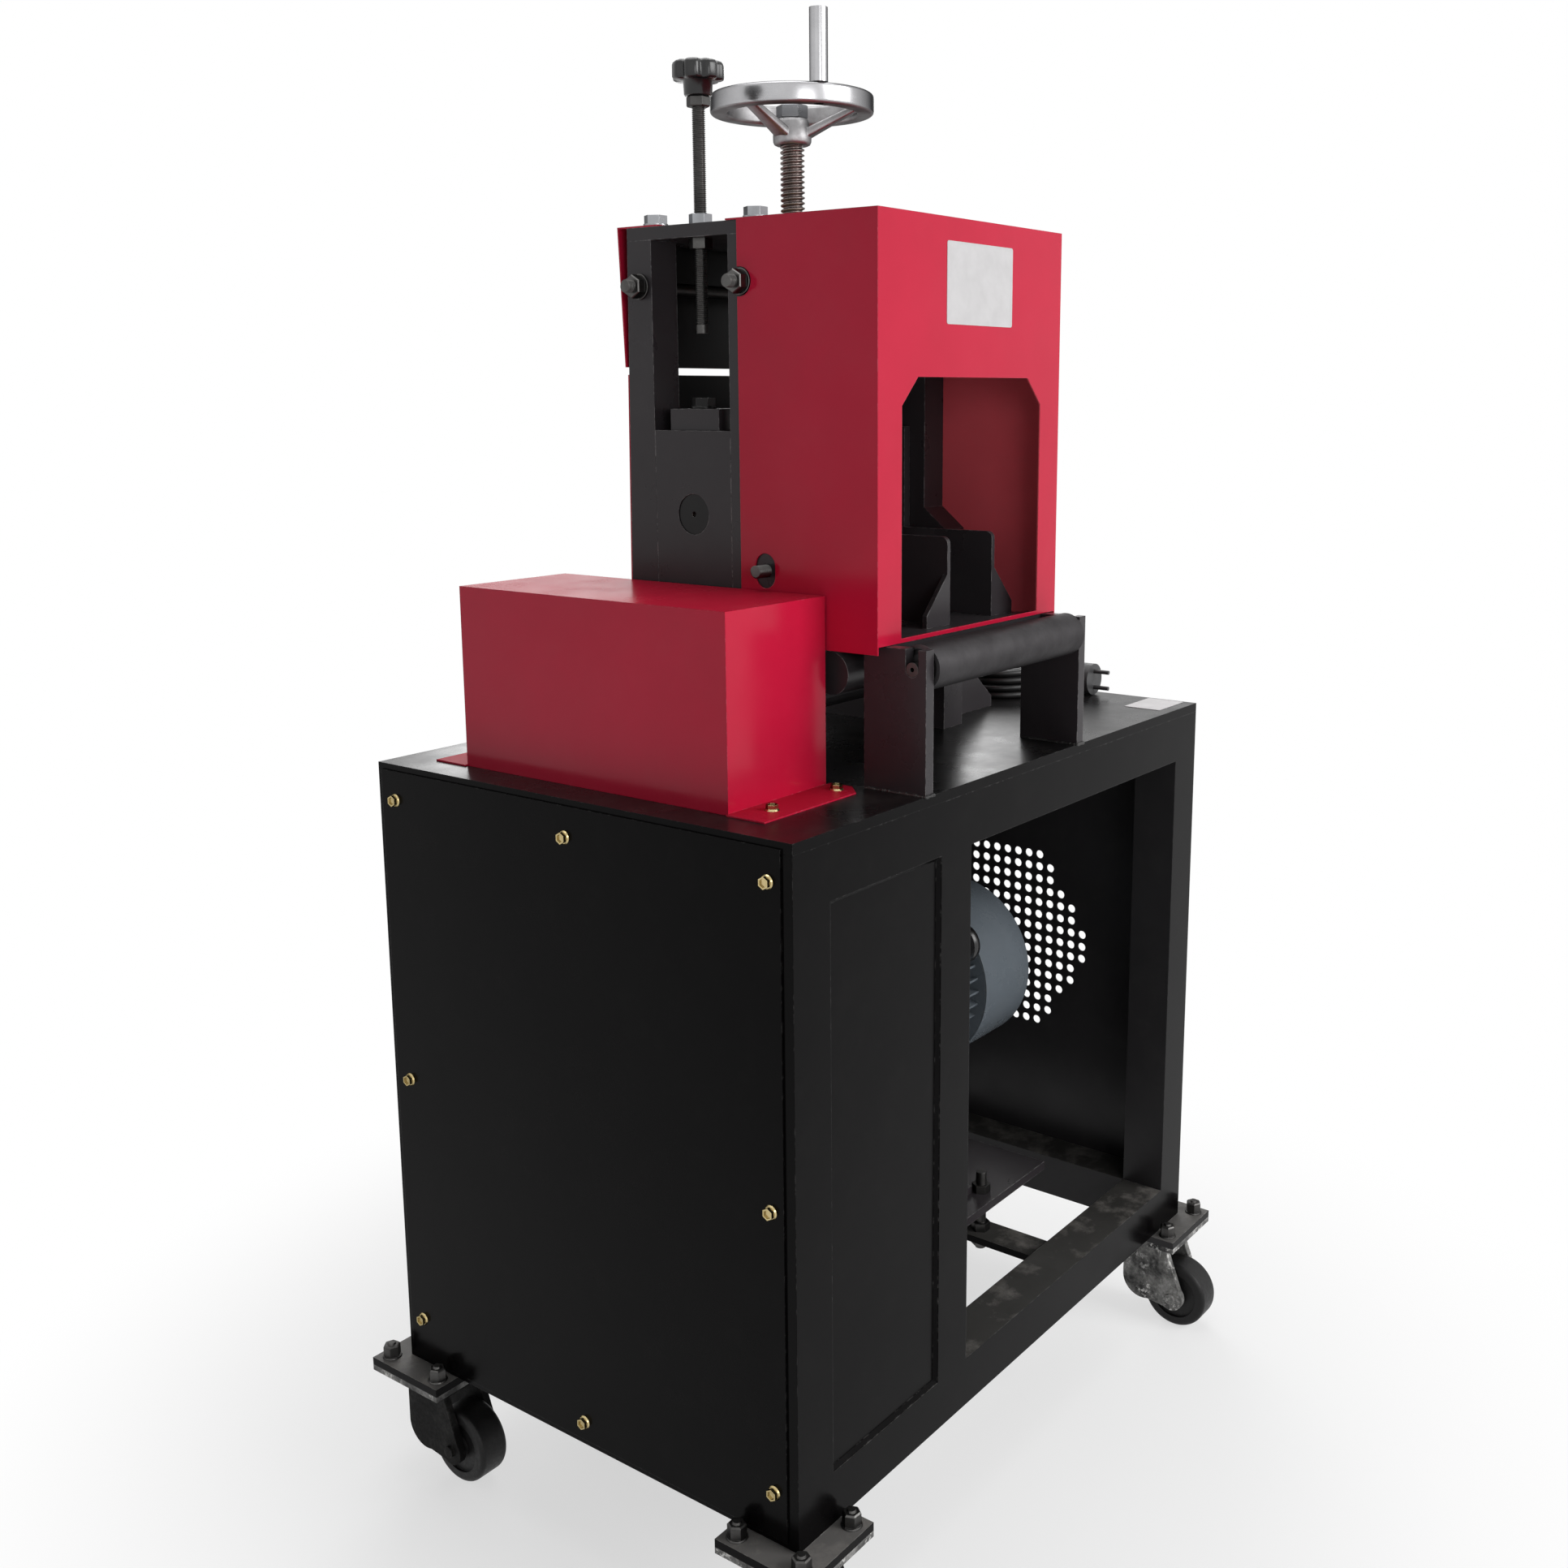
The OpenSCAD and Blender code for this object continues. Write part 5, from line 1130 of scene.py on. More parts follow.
@dataclass
class Thread:
    """A rod with a real screw thread, made by a node tree."""

    finishes: Finishes
    ring_steps: int = 36
    pitch_steps: int = 8
    crest_half: float = 0.36
    flank_slope: float = 4.5
    weld_reach: float = 1e-6

    def tree(self, finish: Finish) -> NodeTree:
        """Builds the tree that turns a flat grid into a threaded rod.

        Args:
            finish: Finish of the rod.

        Returns:
            The tree.
        """
        t = NodeTree("threaded_rod")
        for name in ("Core radius", "Crest radius", "Pitch", "Length"):
            t.number(name)
        t.number("Rings", "NodeSocketInt")
        grid = t.add("GeometryNodeMeshGrid")
        grid.inputs["Size X"].default_value = 1.0
        grid.inputs["Size Y"].default_value = 1.0
        grid.inputs["Vertices X"].default_value = self.ring_steps + 1
        t.link(t.value("Rings"), grid.inputs["Vertices Y"])
        place = t.add("ShaderNodeSeparateXYZ")
        t.link(t.add("GeometryNodeInputPosition").outputs[0], place.inputs[0])
        turn = t.math("ADD", place.outputs["X"], 0.5)
        along = t.math("MULTIPLY", t.math("ADD", place.outputs["Y"], 0.5), t.value("Length"))
        phase = t.math("FRACT", t.math("SUBTRACT", t.math("DIVIDE", along, t.value("Pitch")), turn))
        flank = t.math("ABSOLUTE", t.math("SUBTRACT", phase, 0.5))
        crest = t.math("MULTIPLY", t.math("SUBTRACT", self.crest_half, flank), self.flank_slope)
        crest = t.math("MINIMUM", t.math("MAXIMUM", crest, 0.0), 1.0)
        depth = t.math("SUBTRACT", t.value("Crest radius"), t.value("Core radius"))
        radius = t.math("ADD", t.value("Core radius"), t.math("MULTIPLY", crest, depth))
        angle = t.math("MULTIPLY", turn, 2 * math.pi)
        spot = t.add("ShaderNodeCombineXYZ")
        t.link(t.math("MULTIPLY", radius, t.math("COSINE", angle)), spot.inputs["X"])
        t.link(t.math("MULTIPLY", radius, t.math("SINE", angle)), spot.inputs["Y"])
        t.link(along, spot.inputs["Z"])
        move = t.add("GeometryNodeSetPosition")
        t.link(grid.outputs["Mesh"], move.inputs["Geometry"])
        t.link(spot.outputs[0], move.inputs["Position"])
        weld = t.add("GeometryNodeMergeByDistance")
        weld.inputs["Distance"].default_value = self.weld_reach
        t.link(move.outputs["Geometry"], weld.inputs["Geometry"])
        t.finish(weld.outputs["Geometry"], self.finishes.get(finish))
        return t

    def rod(self, name: str, finish: Finish, diameter: float, pitch: float, depth: float, place: Matrix,
            length: float) -> bpy.types.Object:
        """Makes one threaded rod along Z of a frame.

        Args:
            name: Name of the piece.
            finish: Its finish.
            diameter: Outer diameter of the thread.
            pitch: Rise of a turn.
            depth: Depth of the thread.
            place: Frame of its lower end.
            length: Its length.

        Returns:
            The piece.
        """
        values = {
            "Core radius": diameter / 2 - depth, "Crest radius": diameter / 2, "Pitch": pitch, "Length": length,
            "Rings": int(length / pitch * self.pitch_steps) + 1,
        }
        piece = self.tree(finish).bake(name, bpy.data.meshes.new(name), values, place)
        close_tube(piece.data)
        return piece


def close_tube(mesh: bpy.types.Mesh) -> None:
    """Closes the open ends of a tube, turns its faces outward and shades it smooth.

    Args:
        mesh: The tube's mesh.
    """
    work = bmesh.new()
    work.from_mesh(mesh)
    rim = [edge for edge in work.edges if edge.is_boundary]
    bmesh.ops.holes_fill(work, edges=rim, sides=0)
    bmesh.ops.recalc_face_normals(work, faces=work.faces)
    work.to_mesh(mesh)
    work.free()
    for face in mesh.polygons:
        face.use_smooth = len(face.vertices) == 4


def close_loops(work: bmesh.types.BMesh, low: list[bmesh.types.BMVert], high: list[bmesh.types.BMVert]) -> None:
    """Joins two rings of points with faces.

    Args:
        work: Mesh to add to.
        low: Points of the first ring.
        high: Points of the second ring.
    """
    for i in range(len(low)):
        j = (i + 1) % len(low)
        work.faces.new((low[i], low[j], high[j], high[i]))


def skin_rings(work: bmesh.types.BMesh, rings: list[list[bmesh.types.BMVert]]) -> None:
    """Joins a row of rings with faces and caps its two ends.

    Args:
        work: Mesh to add to.
        rings: The rings, from the first end to the last.
    """
    for low, high in zip(rings, rings[1:]):
        close_loops(work, low, high)
    work.faces.new(tuple(reversed(rings[0])))
    work.faces.new(tuple(rings[-1]))


def round_rectangle(width: float, height: float, corner: float, steps: int) -> list[tuple[float, float]]:
    """Gives a rectangle with round corners, about its middle.

    Args:
        width: Full width.
        height: Full height.
        corner: Radius of its corners.
        steps: Stretches of a corner's arc.

    Returns:
        Its points, counterclockwise.
    """
    points = []
    for sx, sy, start in ((1, 1, 0), (-1, 1, 90), (-1, -1, 180), (1, -1, 270)):
        cx, cy = sx * (width / 2 - corner), sy * (height / 2 - corner)
        for k in range(steps + 1):
            angle = math.radians(start + 90 * k / steps)
            points.append((cx + corner * math.cos(angle), cy + corner * math.sin(angle)))
    return points


def add_turned(work: bmesh.types.BMesh, middle: Vector, profile: list[tuple[float, float]], sides: int = 40) -> None:
    """Adds a closed turned form about Z.

    Args:
        work: Mesh to add to.
        middle: Point on the axis at height 0.
        profile: Radius and height of each ring, from the bottom up.
        sides: Sides of a ring.
    """
    rings = []
    for radius, height in profile:
        ring = []
        for i in range(sides):
            angle = 2 * math.pi * i / sides
            ring.append(work.verts.new(middle + Vector((radius * math.cos(angle), radius * math.sin(angle), height))))
        rings.append(ring)
    skin_rings(work, rings)


def join(name: str, parts: list[bpy.types.Object]) -> bpy.types.Object:
    """Joins pieces into the first one.

    Args:
        name: Name of the result.
        parts: Pieces to join.

    Returns:
        The joined piece.
    """
    work = bmesh.new()
    for part in parts:
        work.from_mesh(part.data)
    first = parts[0]
    finish = parts[-1].data.materials[0]
    work.to_mesh(first.data)
    work.free()
    first.data.materials.clear()
    first.data.materials.append(finish)
    for face in first.data.polygons:
        face.material_index = 0
    for part in parts[1:]:
        bpy.data.objects.remove(part)
    first.name = name
    return first


def add_nut(work: bmesh.types.BMesh, middle: Vector, flats: float, low: float, high: float) -> None:
    """Adds a hexagon nut with chamfered corners about Z.

    Args:
        work: Mesh to add to.
        middle: Point on the axis at height 0.
        flats: Width across its flats.
        low: Height of its underside.
        high: Height of its top.
    """
    corner = flats / 2 / math.cos(math.pi / 6)
    add_turned(work, middle, [(NUT_END * corner, low), (corner, low + NUT_CHAMFER), (corner, high - NUT_CHAMFER),
                              (NUT_END * corner, high)], sides=6)


@dataclass
class ScrewGear:
    """The lead screw and the stop rod with their threads."""

    finishes: Finishes
    screw_d: float = 24 * MM
    screw_pitch: float = 5 * MM
    screw_depth: float = 2.6 * MM
    stop_d: float = 12 * MM
    stop_pitch: float = 1.75 * MM
    stop_depth: float = 1.0 * MM
    neck_r: float = 8 * MM
    top_r: float = 9 * MM
    top_chamfer: float = 1 * MM
    stop_neck_r: float = 4 * MM
    clearance: float = 0.3 * MM
    jam_flats: float = 19 * MM
    jam_h: float = 9.5 * MM

    def build_lead_screw(self) -> bpy.types.Object:
        """Makes the lead screw: thread, plain collar and top end.

        Returns:
            The piece that stands for the CAD screw.
        """
        low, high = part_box("lead_screw")
        hub_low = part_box("handwheel")[0].z
        boss_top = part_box("crosshead")[1].z + self.clearance
        middle = Vector(((low.x + high.x) / 2, (low.y + high.y) / 2, 0))
        thread = Thread(self.finishes).rod("lead_screw_thread", OILED_STEEL, self.screw_d, self.screw_pitch,
                                           self.screw_depth,
                                           Matrix.Translation(middle + Vector((0, 0, boss_top))), hub_low - boss_top)
        work = bmesh.new()
        add_turned(work, middle, [(self.neck_r, low.z), (self.neck_r, boss_top)])
        add_turned(work, middle, [(self.top_r, hub_low), (self.top_r, high.z - self.top_chamfer),
                                  (self.top_r - self.top_chamfer, high.z)])
        ends = mesh_object("lead_screw_ends", work, self.finishes.get(OILED_STEEL))
        screw = join("lead_screw_threaded", [thread, ends])
        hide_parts("lead_screw")
        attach(screw, Body.SCREW.value)
        return screw

    def build_stop_rod(self) -> bpy.types.Object:
        """Makes the stop rod with its thread and jam nut.

        Returns:
            The piece that stands for the CAD rod.
        """
        low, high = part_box("stop_rod")
        middle = Vector(((low.x + high.x) / 2, (low.y + high.y) / 2, 0))
        knob_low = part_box("star_knob")[0].z
        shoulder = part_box("stop_foot")[1].z + self.clearance
        thread = Thread(self.finishes).rod("stop_thread", DARK_STEEL, self.stop_d, self.stop_pitch, self.stop_depth,
                                           Matrix.Translation(middle + Vector((0, 0, shoulder))),
                                           high.z - shoulder)
        work = bmesh.new()
        add_turned(work, middle, [(self.stop_neck_r, low.z), (self.stop_neck_r, shoulder)])
        add_nut(work, middle, self.jam_flats, knob_low - self.jam_h, knob_low)
        rest = mesh_object("stop_rest", work, self.finishes.get(DARK_STEEL))
        rod = join("stop_rod_threaded", [thread, rest])
        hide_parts("stop_rod")
        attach(rod, Body.STOP.value)
        return rod

    def build(self) -> None:
        """Makes both threaded rods."""
        log.info("%s", self.build_lead_screw().name)
        log.info("%s", self.build_stop_rod().name)


@dataclass
class TieRods:
    """The head's tie rods and lower studs: threaded ends, nuts and washers. Sizes repeat the CAD source."""

    finishes: Finishes
    diameter: float = 12 * MM
    pitch: float = 1.75 * MM
    depth: float = 1.0 * MM
    rod_y: float = 62 * MM
    rod_z: float = 451 * MM
    stud: tuple[float, float] = (-88 * MM, 192 * MM)
    washer: tuple[float, float] = (12 * MM, 2.5 * MM)
    washer_bevel: float = 0.4 * MM
    flats_share: float = 1.6
    nut_h: float = 9.6 * MM
    rod_end: float = 20.1 * MM
    stud_end: float = 16 * MM
    inside: float = 6 * MM

    def end(self, parts: list[bpy.types.Object], side: int, y: float, z: float, reach: float, nut: bool) -> None:
        """Makes one threaded end outside a stand.

        Args:
            parts: List that takes the pieces made.
            side: -1 at the left stand and 1 at the right one.
            y: Place along the feed, from the head's middle.
            z: Height over the table.
            reach: How far it stands out.
            nut: Whether it carries a washer and a nut.
        """
        face = HEAD + Vector((side * STAND_HALF, y, z))
        place = Matrix.Translation(face) @ Matrix.Rotation(math.radians(side * 90), 4, "Y")
        low = place @ Matrix.Translation((0, 0, -self.inside))
        parts.append(Thread(self.finishes).rod("tie_thread", DARK_STEEL, self.diameter, self.pitch, self.depth, low,
                                               reach + self.inside))
        if not nut:
            return
        radius, thick = self.washer
        work = bmesh.new()
        bevel = self.washer_bevel
        add_turned(work, Vector(), [(radius - bevel, 0), (radius, bevel), (radius, thick - bevel),
                                    (radius - bevel, thick)])
        add_nut(work, Vector(), self.flats_share * self.diameter, thick, thick + self.nut_h)
        bmesh.ops.transform(work, matrix=place, verts=work.verts)
        parts.append(mesh_object("tie_nut", work, self.finishes.get(DARK_STEEL)))

    def build(self) -> bpy.types.Object:
        """Makes the rods and studs as one piece.

        Returns:
            The piece that stands for the CAD rods.
        """
        parts: list[bpy.types.Object] = []
        for side in (-1, 1):
            for y in (-self.rod_y, self.rod_y):
                self.end(parts, side, y, self.rod_z, self.rod_end, True)
            self.end(parts, side, *self.stud, self.stud_end, False)
        across = Matrix.Rotation(math.radians(90), 4, "Y")
        for y in (-self.rod_y, self.rod_y):
            work = bmesh.new()
            half = STAND_HALF - self.inside
            add_turned(work, Vector(), [(self.diameter / 2, -half), (self.diameter / 2, half)])
            bmesh.ops.transform(work, matrix=Matrix.Translation(HEAD + Vector((0, y, self.rod_z))) @ across,
                                verts=work.verts)
            parts.append(mesh_object("tie_middle", work, self.finishes.get(DARK_STEEL)))
        rods = join("tie_rods_threaded", parts)
        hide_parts("tie_rods")
        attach(rods, Body.CABINET.value)
        log.info("%s", rods.name)
        return rods


@dataclass
class Handwheel:
    """The cast handwheel: polished rim, three flat tapered spokes, rough hub and plated nut.

    The sizes repeat those of the CAD source.
    """

    finishes: Finishes
    rim_r: float = 80 * MM
    rim_w: float = 17 * MM
    rim_h: float = 19 * MM
    rim_round: float = 3.5 * MM
    rim_steps: int = 6
    rim_sides: int = 128
    hub_h: float = 25 * MM
    hub: tuple[tuple[float, float], ...] = (
        (15.5, 0), (17.6, 1), (18.7, 3.5), (19, 9), (17.8, 16), (16.4, 22), (15.2, 25),
    )
    spokes: int = 3
    spoke_deg: float = 299.0
    spoke_r: tuple[float, float] = (10 * MM, 66 * MM)
    spoke_w: tuple[float, float] = (19 * MM, 13 * MM)
    spoke_t: tuple[float, float] = (10 * MM, 6.5 * MM)
    spoke_rise: float = 9 * MM
    spoke_drop: float = 2.5 * MM
    spoke_steps: int = 10
    spoke_sides: int = 16
    spoke_flare: float = 1.6
    spoke_round: float = 0.4
    cast_inward: float = 0.2
    cast_under: float = 0.6
    nut_flats: float = 27 * MM
    nut_h: float = 13 * MM

    def rim_outline(self) -> list[tuple[float, float]]:
        """Gives the rim's section, round at its corners.

        Returns:
            Radius and height of its points.
        """
        mid = self.rim_r - self.rim_w / 2
        section = round_rectangle(self.rim_w, self.rim_h, self.rim_round, self.rim_steps)
        return [(mid + across, height) for across, height in section]

    def add_rim(self, work: bmesh.types.BMesh, middle: Vector) -> None:
        """Adds the rim.

        Args:
            work: Mesh to add to.
            middle: Middle of the rim.
        """
        outline = self.rim_outline()
        rings = []
        for i in range(self.rim_sides):
            angle = 2 * math.pi * i / self.rim_sides
            out = Vector((math.cos(angle), math.sin(angle), 0))
            rings.append([work.verts.new(middle + r * out + Vector((0, 0, z))) for r, z in outline])
        for i, ring in enumerate(rings):
            close_loops(work, ring, rings[(i + 1) % self.rim_sides])

    def add_spoke(self, work: bmesh.types.BMesh, angle: float, middle: Vector, rise: tuple[float, float]) -> None:
        """Adds a flat tapered spoke.

        Args:
            work: Mesh to add to.
            angle: Its direction about the screw.
            middle: Point on the axis at height 0.
            rise: Height of its two ends.
        """
        out = Vector((math.cos(angle), math.sin(angle), 0))
        across = Vector((-math.sin(angle), math.cos(angle), 0))
        start = middle + self.spoke_r[0] * out + Vector((0, 0, rise[0]))
        stop = middle + self.spoke_r[1] * out + Vector((0, 0, rise[1]))
        upward = across.cross((stop - start).normalized())
        rings = []
        for k in range(self.spoke_steps + 1):
            t = k / self.spoke_steps
            spread = (1 - t) ** self.spoke_flare
            half_w = (self.spoke_w[1] + (self.spoke_w[0] - self.spoke_w[1]) * spread) / 2
            half_t = (self.spoke_t[1] + (self.spoke_t[0] - self.spoke_t[1]) * spread) / 2
            ring = []
            for turn in range(self.spoke_sides):
                a = 2 * math.pi * (turn + 0.5) / self.spoke_sides
                c, s = math.cos(a), math.sin(a)
                flat_c = math.copysign(abs(c) ** self.spoke_round, c)
                flat_s = math.copysign(abs(s) ** self.spoke_round, s)
                ring.append(work.verts.new(start.lerp(stop, t) + half_w * flat_c * across + half_t * flat_s * upward))
            rings.append(ring)
        skin_rings(work, rings)

    def build(self) -> bpy.types.Object:
        """Makes the wheel as one piece with three finishes.

        Returns:
            The piece that stands for the CAD wheel.
        """
        low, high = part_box("handwheel")
        middle = Vector((HEAD.x, HEAD.y, low.z))
        rim_z = high.z - low.z - self.rim_h / 2
        work = bmesh.new()
        self.add_rim(work, middle + Vector((0, 0, rim_z)))
        polished = len(work.faces)
        add_turned(work, middle, [(r * MM, z * MM) for r, z in self.hub])
        for i in range(self.spokes):
            angle = math.radians(self.spoke_deg + 360 * i / self.spokes)
            self.add_spoke(work, angle, middle, (self.spoke_rise, rim_z - self.spoke_drop))
        cast = len(work.faces)
        add_nut(work, middle, self.nut_flats, self.hub_h, self.hub_h + self.nut_h)
        bmesh.ops.recalc_face_normals(work, faces=work.faces)
        wheel = mesh_object("handwheel_cast", work, self.finishes.get(CHROME), smooth=True)
        cast_slot, nut_slot = 1, 2
        for finish in (CAST_ALLOY, BRIGHT_STEEL):
            wheel.data.materials.append(self.finishes.get(finish))
        for face in wheel.data.polygons:
            inward = (face.center - middle).xy.dot(face.normal.xy) < -self.cast_inward * self.rim_r
            if face.index >= cast:
                face.material_index = nut_slot
            elif face.index >= polished or inward or face.normal.z < -self.cast_under:
                face.material_index = cast_slot
            face.use_smooth = face.index < cast and len(face.vertices) == 4
        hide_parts("handwheel")
        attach(wheel, Body.SCREW.value)
        log.info("%s", wheel.name)
        return wheel


@dataclass
class StarKnob:
    """The moulded knob on the stop rod: seven round lobes over a tapered boss."""

    finishes: Finishes
    radius: float = 24 * MM
    notch: float = 4.2 * MM
    notch_power: int = 3
    lobes: int = 7
    steps_a_lobe: int = 18
    boss: tuple[tuple[float, float], ...] = ((12.0, 0), (12.9, 0.9), (13.5, 13.0))
    flange: tuple[tuple[float, float], ...] = (
        (2.6, 13.2), (0.7, 14.1), (0, 15.6), (0, 25.4), (0.5, 27.4), (1.7, 29.0), (4.2, 30.1), (8.0, 30.7),
    )
    crown: tuple[float, float] = (11.0, 31.0)

    def build(self) -> bpy.types.Object:
        """Makes the knob.

        Returns:
            The piece that stands for the CAD knob.
        """
        low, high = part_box("stop_rod")
        base = Vector(((low.x + high.x) / 2, (low.y + high.y) / 2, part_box("star_knob")[0].z))
        count = self.lobes * self.steps_a_lobe
        work = bmesh.new()
        rings = []

        def ring(height: float, radius_at: Callable[[float], float]) -> None:
            """Adds a ring of points.

            Args:
                height: Its height over the knob's underside.
                radius_at: Gives its radius at an angle.
            """
            points = []
            for i in range(count):
                angle = 2 * math.pi * i / count
                r = radius_at(angle)
                points.append(work.verts.new(base + Vector((r * math.cos(angle), r * math.sin(angle), height))))
            rings.append(points)

        def lobed(angle: float) -> float:
            """Gives the flange's radius.

            Args:
                angle: Direction about the rod.

            Returns:
                The radius, smaller between two lobes.
            """
            return self.radius - self.notch * (0.5 - 0.5 * math.cos(self.lobes * angle)) ** self.notch_power

        for radius, height in self.boss:
            ring(height * MM, lambda angle, r=radius: r * MM)
        for inset, height in self.flange:
            ring(height * MM, lambda angle, i=inset: lobed(angle) - i * MM)
        ring(self.crown[1] * MM, lambda angle: self.crown[0] * MM)
        skin_rings(work, rings)
        knob = mesh_object("star_knob_moulded", work, self.finishes.get(BLACK_PLASTIC), smooth=True)
        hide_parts("star_knob")
        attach(knob, Body.STOP.value)
        log.info("%s", knob.name)
        return knob


@dataclass
class MotorCapacitor:
    """The motor's start capacitor: a can with a rolled bead and a terminal cap."""

    finishes: Finishes
    length: float = 76 * MM
    radius: float = 23 * MM
    # Change of radius, with the place along the can in millimetres at its base and as a share of its length beyond
    base: tuple[tuple[float, float], ...] = ((-2, 0), (-0.4, 0.6), (0, 2))
    can: tuple[tuple[float, float], ...] = (
        (0, 0.82), (-1.2, 0.84), (-1.2, 0.86), (0, 0.88), (0, 0.97), (-1.5, 0.99), (-4, 1),
    )
    sides: int = 56

    def build(self) -> bpy.types.Object:
        """Makes the capacitor.

        Returns:
            The piece that stands for the CAD can.
        """
        low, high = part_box("capacitor")
        middle = Vector((low.x, (low.y + high.y) / 2, (low.z + high.z) / 2))
        work = bmesh.new()
        profile = [(self.radius + change * MM, along * MM) for change, along in self.base]
        profile += [(self.radius + change * MM, share * self.length) for change, share in self.can]
        add_turned(work, Vector(), profile, sides=self.sides)
        bmesh.ops.transform(work, matrix=Matrix.Translation(middle) @ Matrix.Rotation(math.radians(90), 4, "Y"),
                            verts=work.verts)
        can = mesh_object("capacitor_can", work, self.finishes.get(BLACK_PLASTIC), smooth=True)
        for face in can.data.polygons:
            face.use_smooth = len(face.vertices) == 4
        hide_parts("capacitor")
        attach(can, Body.CABINET.value)
        log.info("%s", can.name)
        return can


@dataclass
class FlangeScrews:
    """The yellow screws of the panels and the guard: hexagon heads with a dished top, made by a node tree."""

    finishes: Finishes
    flange_r: float = 6.6 * MM
    flange_h: float = 1.5 * MM
    head_r: float = 5.5 * MM
    head_h: float = 3.6 * MM
    dish: float = 1.5 * MM
    dish_share: float = 0.72
    flange_sides: int = 28
    flange_taper: float = 0.84
    head_sides: int = 6
    same_point: float = 0.01 * MM

    def seats(self, mesh: bpy.types.Mesh) -> tuple[list[Vector], list[Vector]]:
        """Finds where the CAD screws sit.

        Args:
            mesh: The CAD node's mesh, whose screws are apart from each other.

        Returns:
            Middle of each seat and the direction that its head faces.
        """
        work = bmesh.new()
        work.from_mesh(mesh)
        bmesh.ops.remove_doubles(work, verts=work.verts, dist=self.same_point)
        left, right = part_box("left_panel")[0].x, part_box("right_panel")[1].x
        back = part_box("back_panel")[1].y
        waiting = set(work.verts)
        places, facings = [], []
        while waiting:
            group, edge = set(), [next(iter(waiting))]
            while edge:
                vert = edge.pop()
                if vert not in group:
                    group.add(vert)
                    edge.extend(link.other_vert(vert) for link in vert.link_edges)
            waiting -= group
            low = Vector([min(v.co[i] for v in group) for i in range(3)])
            high = Vector([max(v.co[i] for v in group) for i in range(3)])
            middle = (low + high) / 2
            if low.x < left:
                facing, middle.x = Vector((-1, 0, 0)), left
            elif high.x > right:
                facing, middle.x = Vector((1, 0, 0)), right
            elif high.y > back:
                facing, middle.y = Vector((0, 1, 0)), back
            else:
                facing, middle.z = Vector((0, 0, 1)), high.z - self.flange_h - self.head_h
            places.append(middle)
            facings.append(facing)
        work.free()
        order = sorted(range(len(places)), key=lambda i: tuple(round(v, 4) for v in places[i]))
        return [places[i] for i in order], [facings[i] for i in order]

    def tree(self) -> NodeTree:
        """Builds the tree that puts a screw head on each seat.

        Returns:
            The tree.
        """
        t = NodeTree("flange_screws")
        for name in ("Flange radius", "Flange height", "Head radius", "Head height", "Dish depth", "Dish share"):
            t.number(name)
        flange = t.add("GeometryNodeMeshCone")
        flange.inputs["Vertices"].default_value = self.flange_sides
        t.link(t.value("Flange radius"), flange.inputs["Radius Bottom"])
        t.link(t.math("MULTIPLY", t.value("Flange radius"), self.flange_taper), flange.inputs["Radius Top"])
        t.link(t.value("Flange height"), flange.inputs["Depth"])
        head = t.add("GeometryNodeMeshCylinder")
        head.inputs["Vertices"].default_value = self.head_sides
        t.link(t.value("Head radius"), head.inputs["Radius"])
        t.link(t.value("Head height"), head.inputs["Depth"])
        inset = t.add("GeometryNodeExtrudeMesh")
        inset.inputs["Offset Scale"].default_value = 0.0
        t.link(head.outputs["Mesh"], inset.inputs["Mesh"])
        t.link(head.outputs["Top"], inset.inputs["Selection"])
        narrow = t.add("GeometryNodeScaleElements")
        t.link(inset.outputs["Mesh"], narrow.inputs["Geometry"])
        t.link(inset.outputs["Top"], narrow.inputs["Selection"])
        t.link(t.value("Dish share"), narrow.inputs["Scale"])
        sink = t.add("GeometryNodeExtrudeMesh")
        t.link(narrow.outputs["Geometry"], sink.inputs["Mesh"])
        t.link(inset.outputs["Top"], sink.inputs["Selection"])
        t.link(t.math("MULTIPLY", t.value("Dish depth"), -1.0), sink.inputs["Offset Scale"])
        lift = t.add("GeometryNodeTransform")
        rise = t.add("ShaderNodeCombineXYZ")
        half = t.math("MULTIPLY", t.value("Head height"), 0.5)
        t.link(t.math("ADD", half, t.value("Flange height")), rise.inputs["Z"])
        t.link(sink.outputs["Mesh"], lift.inputs["Geometry"])
        t.link(rise.outputs[0], lift.inputs["Translation"])
        both = t.add("GeometryNodeJoinGeometry")
        t.link(lift.outputs["Geometry"], both.inputs["Geometry"])
        t.link(flange.outputs["Mesh"], both.inputs["Geometry"])
        facing = t.add("GeometryNodeInputNamedAttribute", data_type="FLOAT_VECTOR")
        facing.inputs["Name"].default_value = "facing"
        turn = t.add("FunctionNodeAlignRotationToVector", axis="Z")
        t.link(facing.outputs["Attribute"], turn.inputs["Vector"])
        points = t.add("GeometryNodeMeshToPoints")
        t.link(t.group_in.outputs["Geometry"], points.inputs["Mesh"])
        put = t.add("GeometryNodeInstanceOnPoints")
        t.link(points.outputs["Points"], put.inputs["Points"])
        t.link(both.outputs["Geometry"], put.inputs["Instance"])
        t.link(turn.outputs["Rotation"], put.inputs["Rotation"])
        t.finish(put.outputs["Instances"], self.finishes.get(ZINC))
        return t

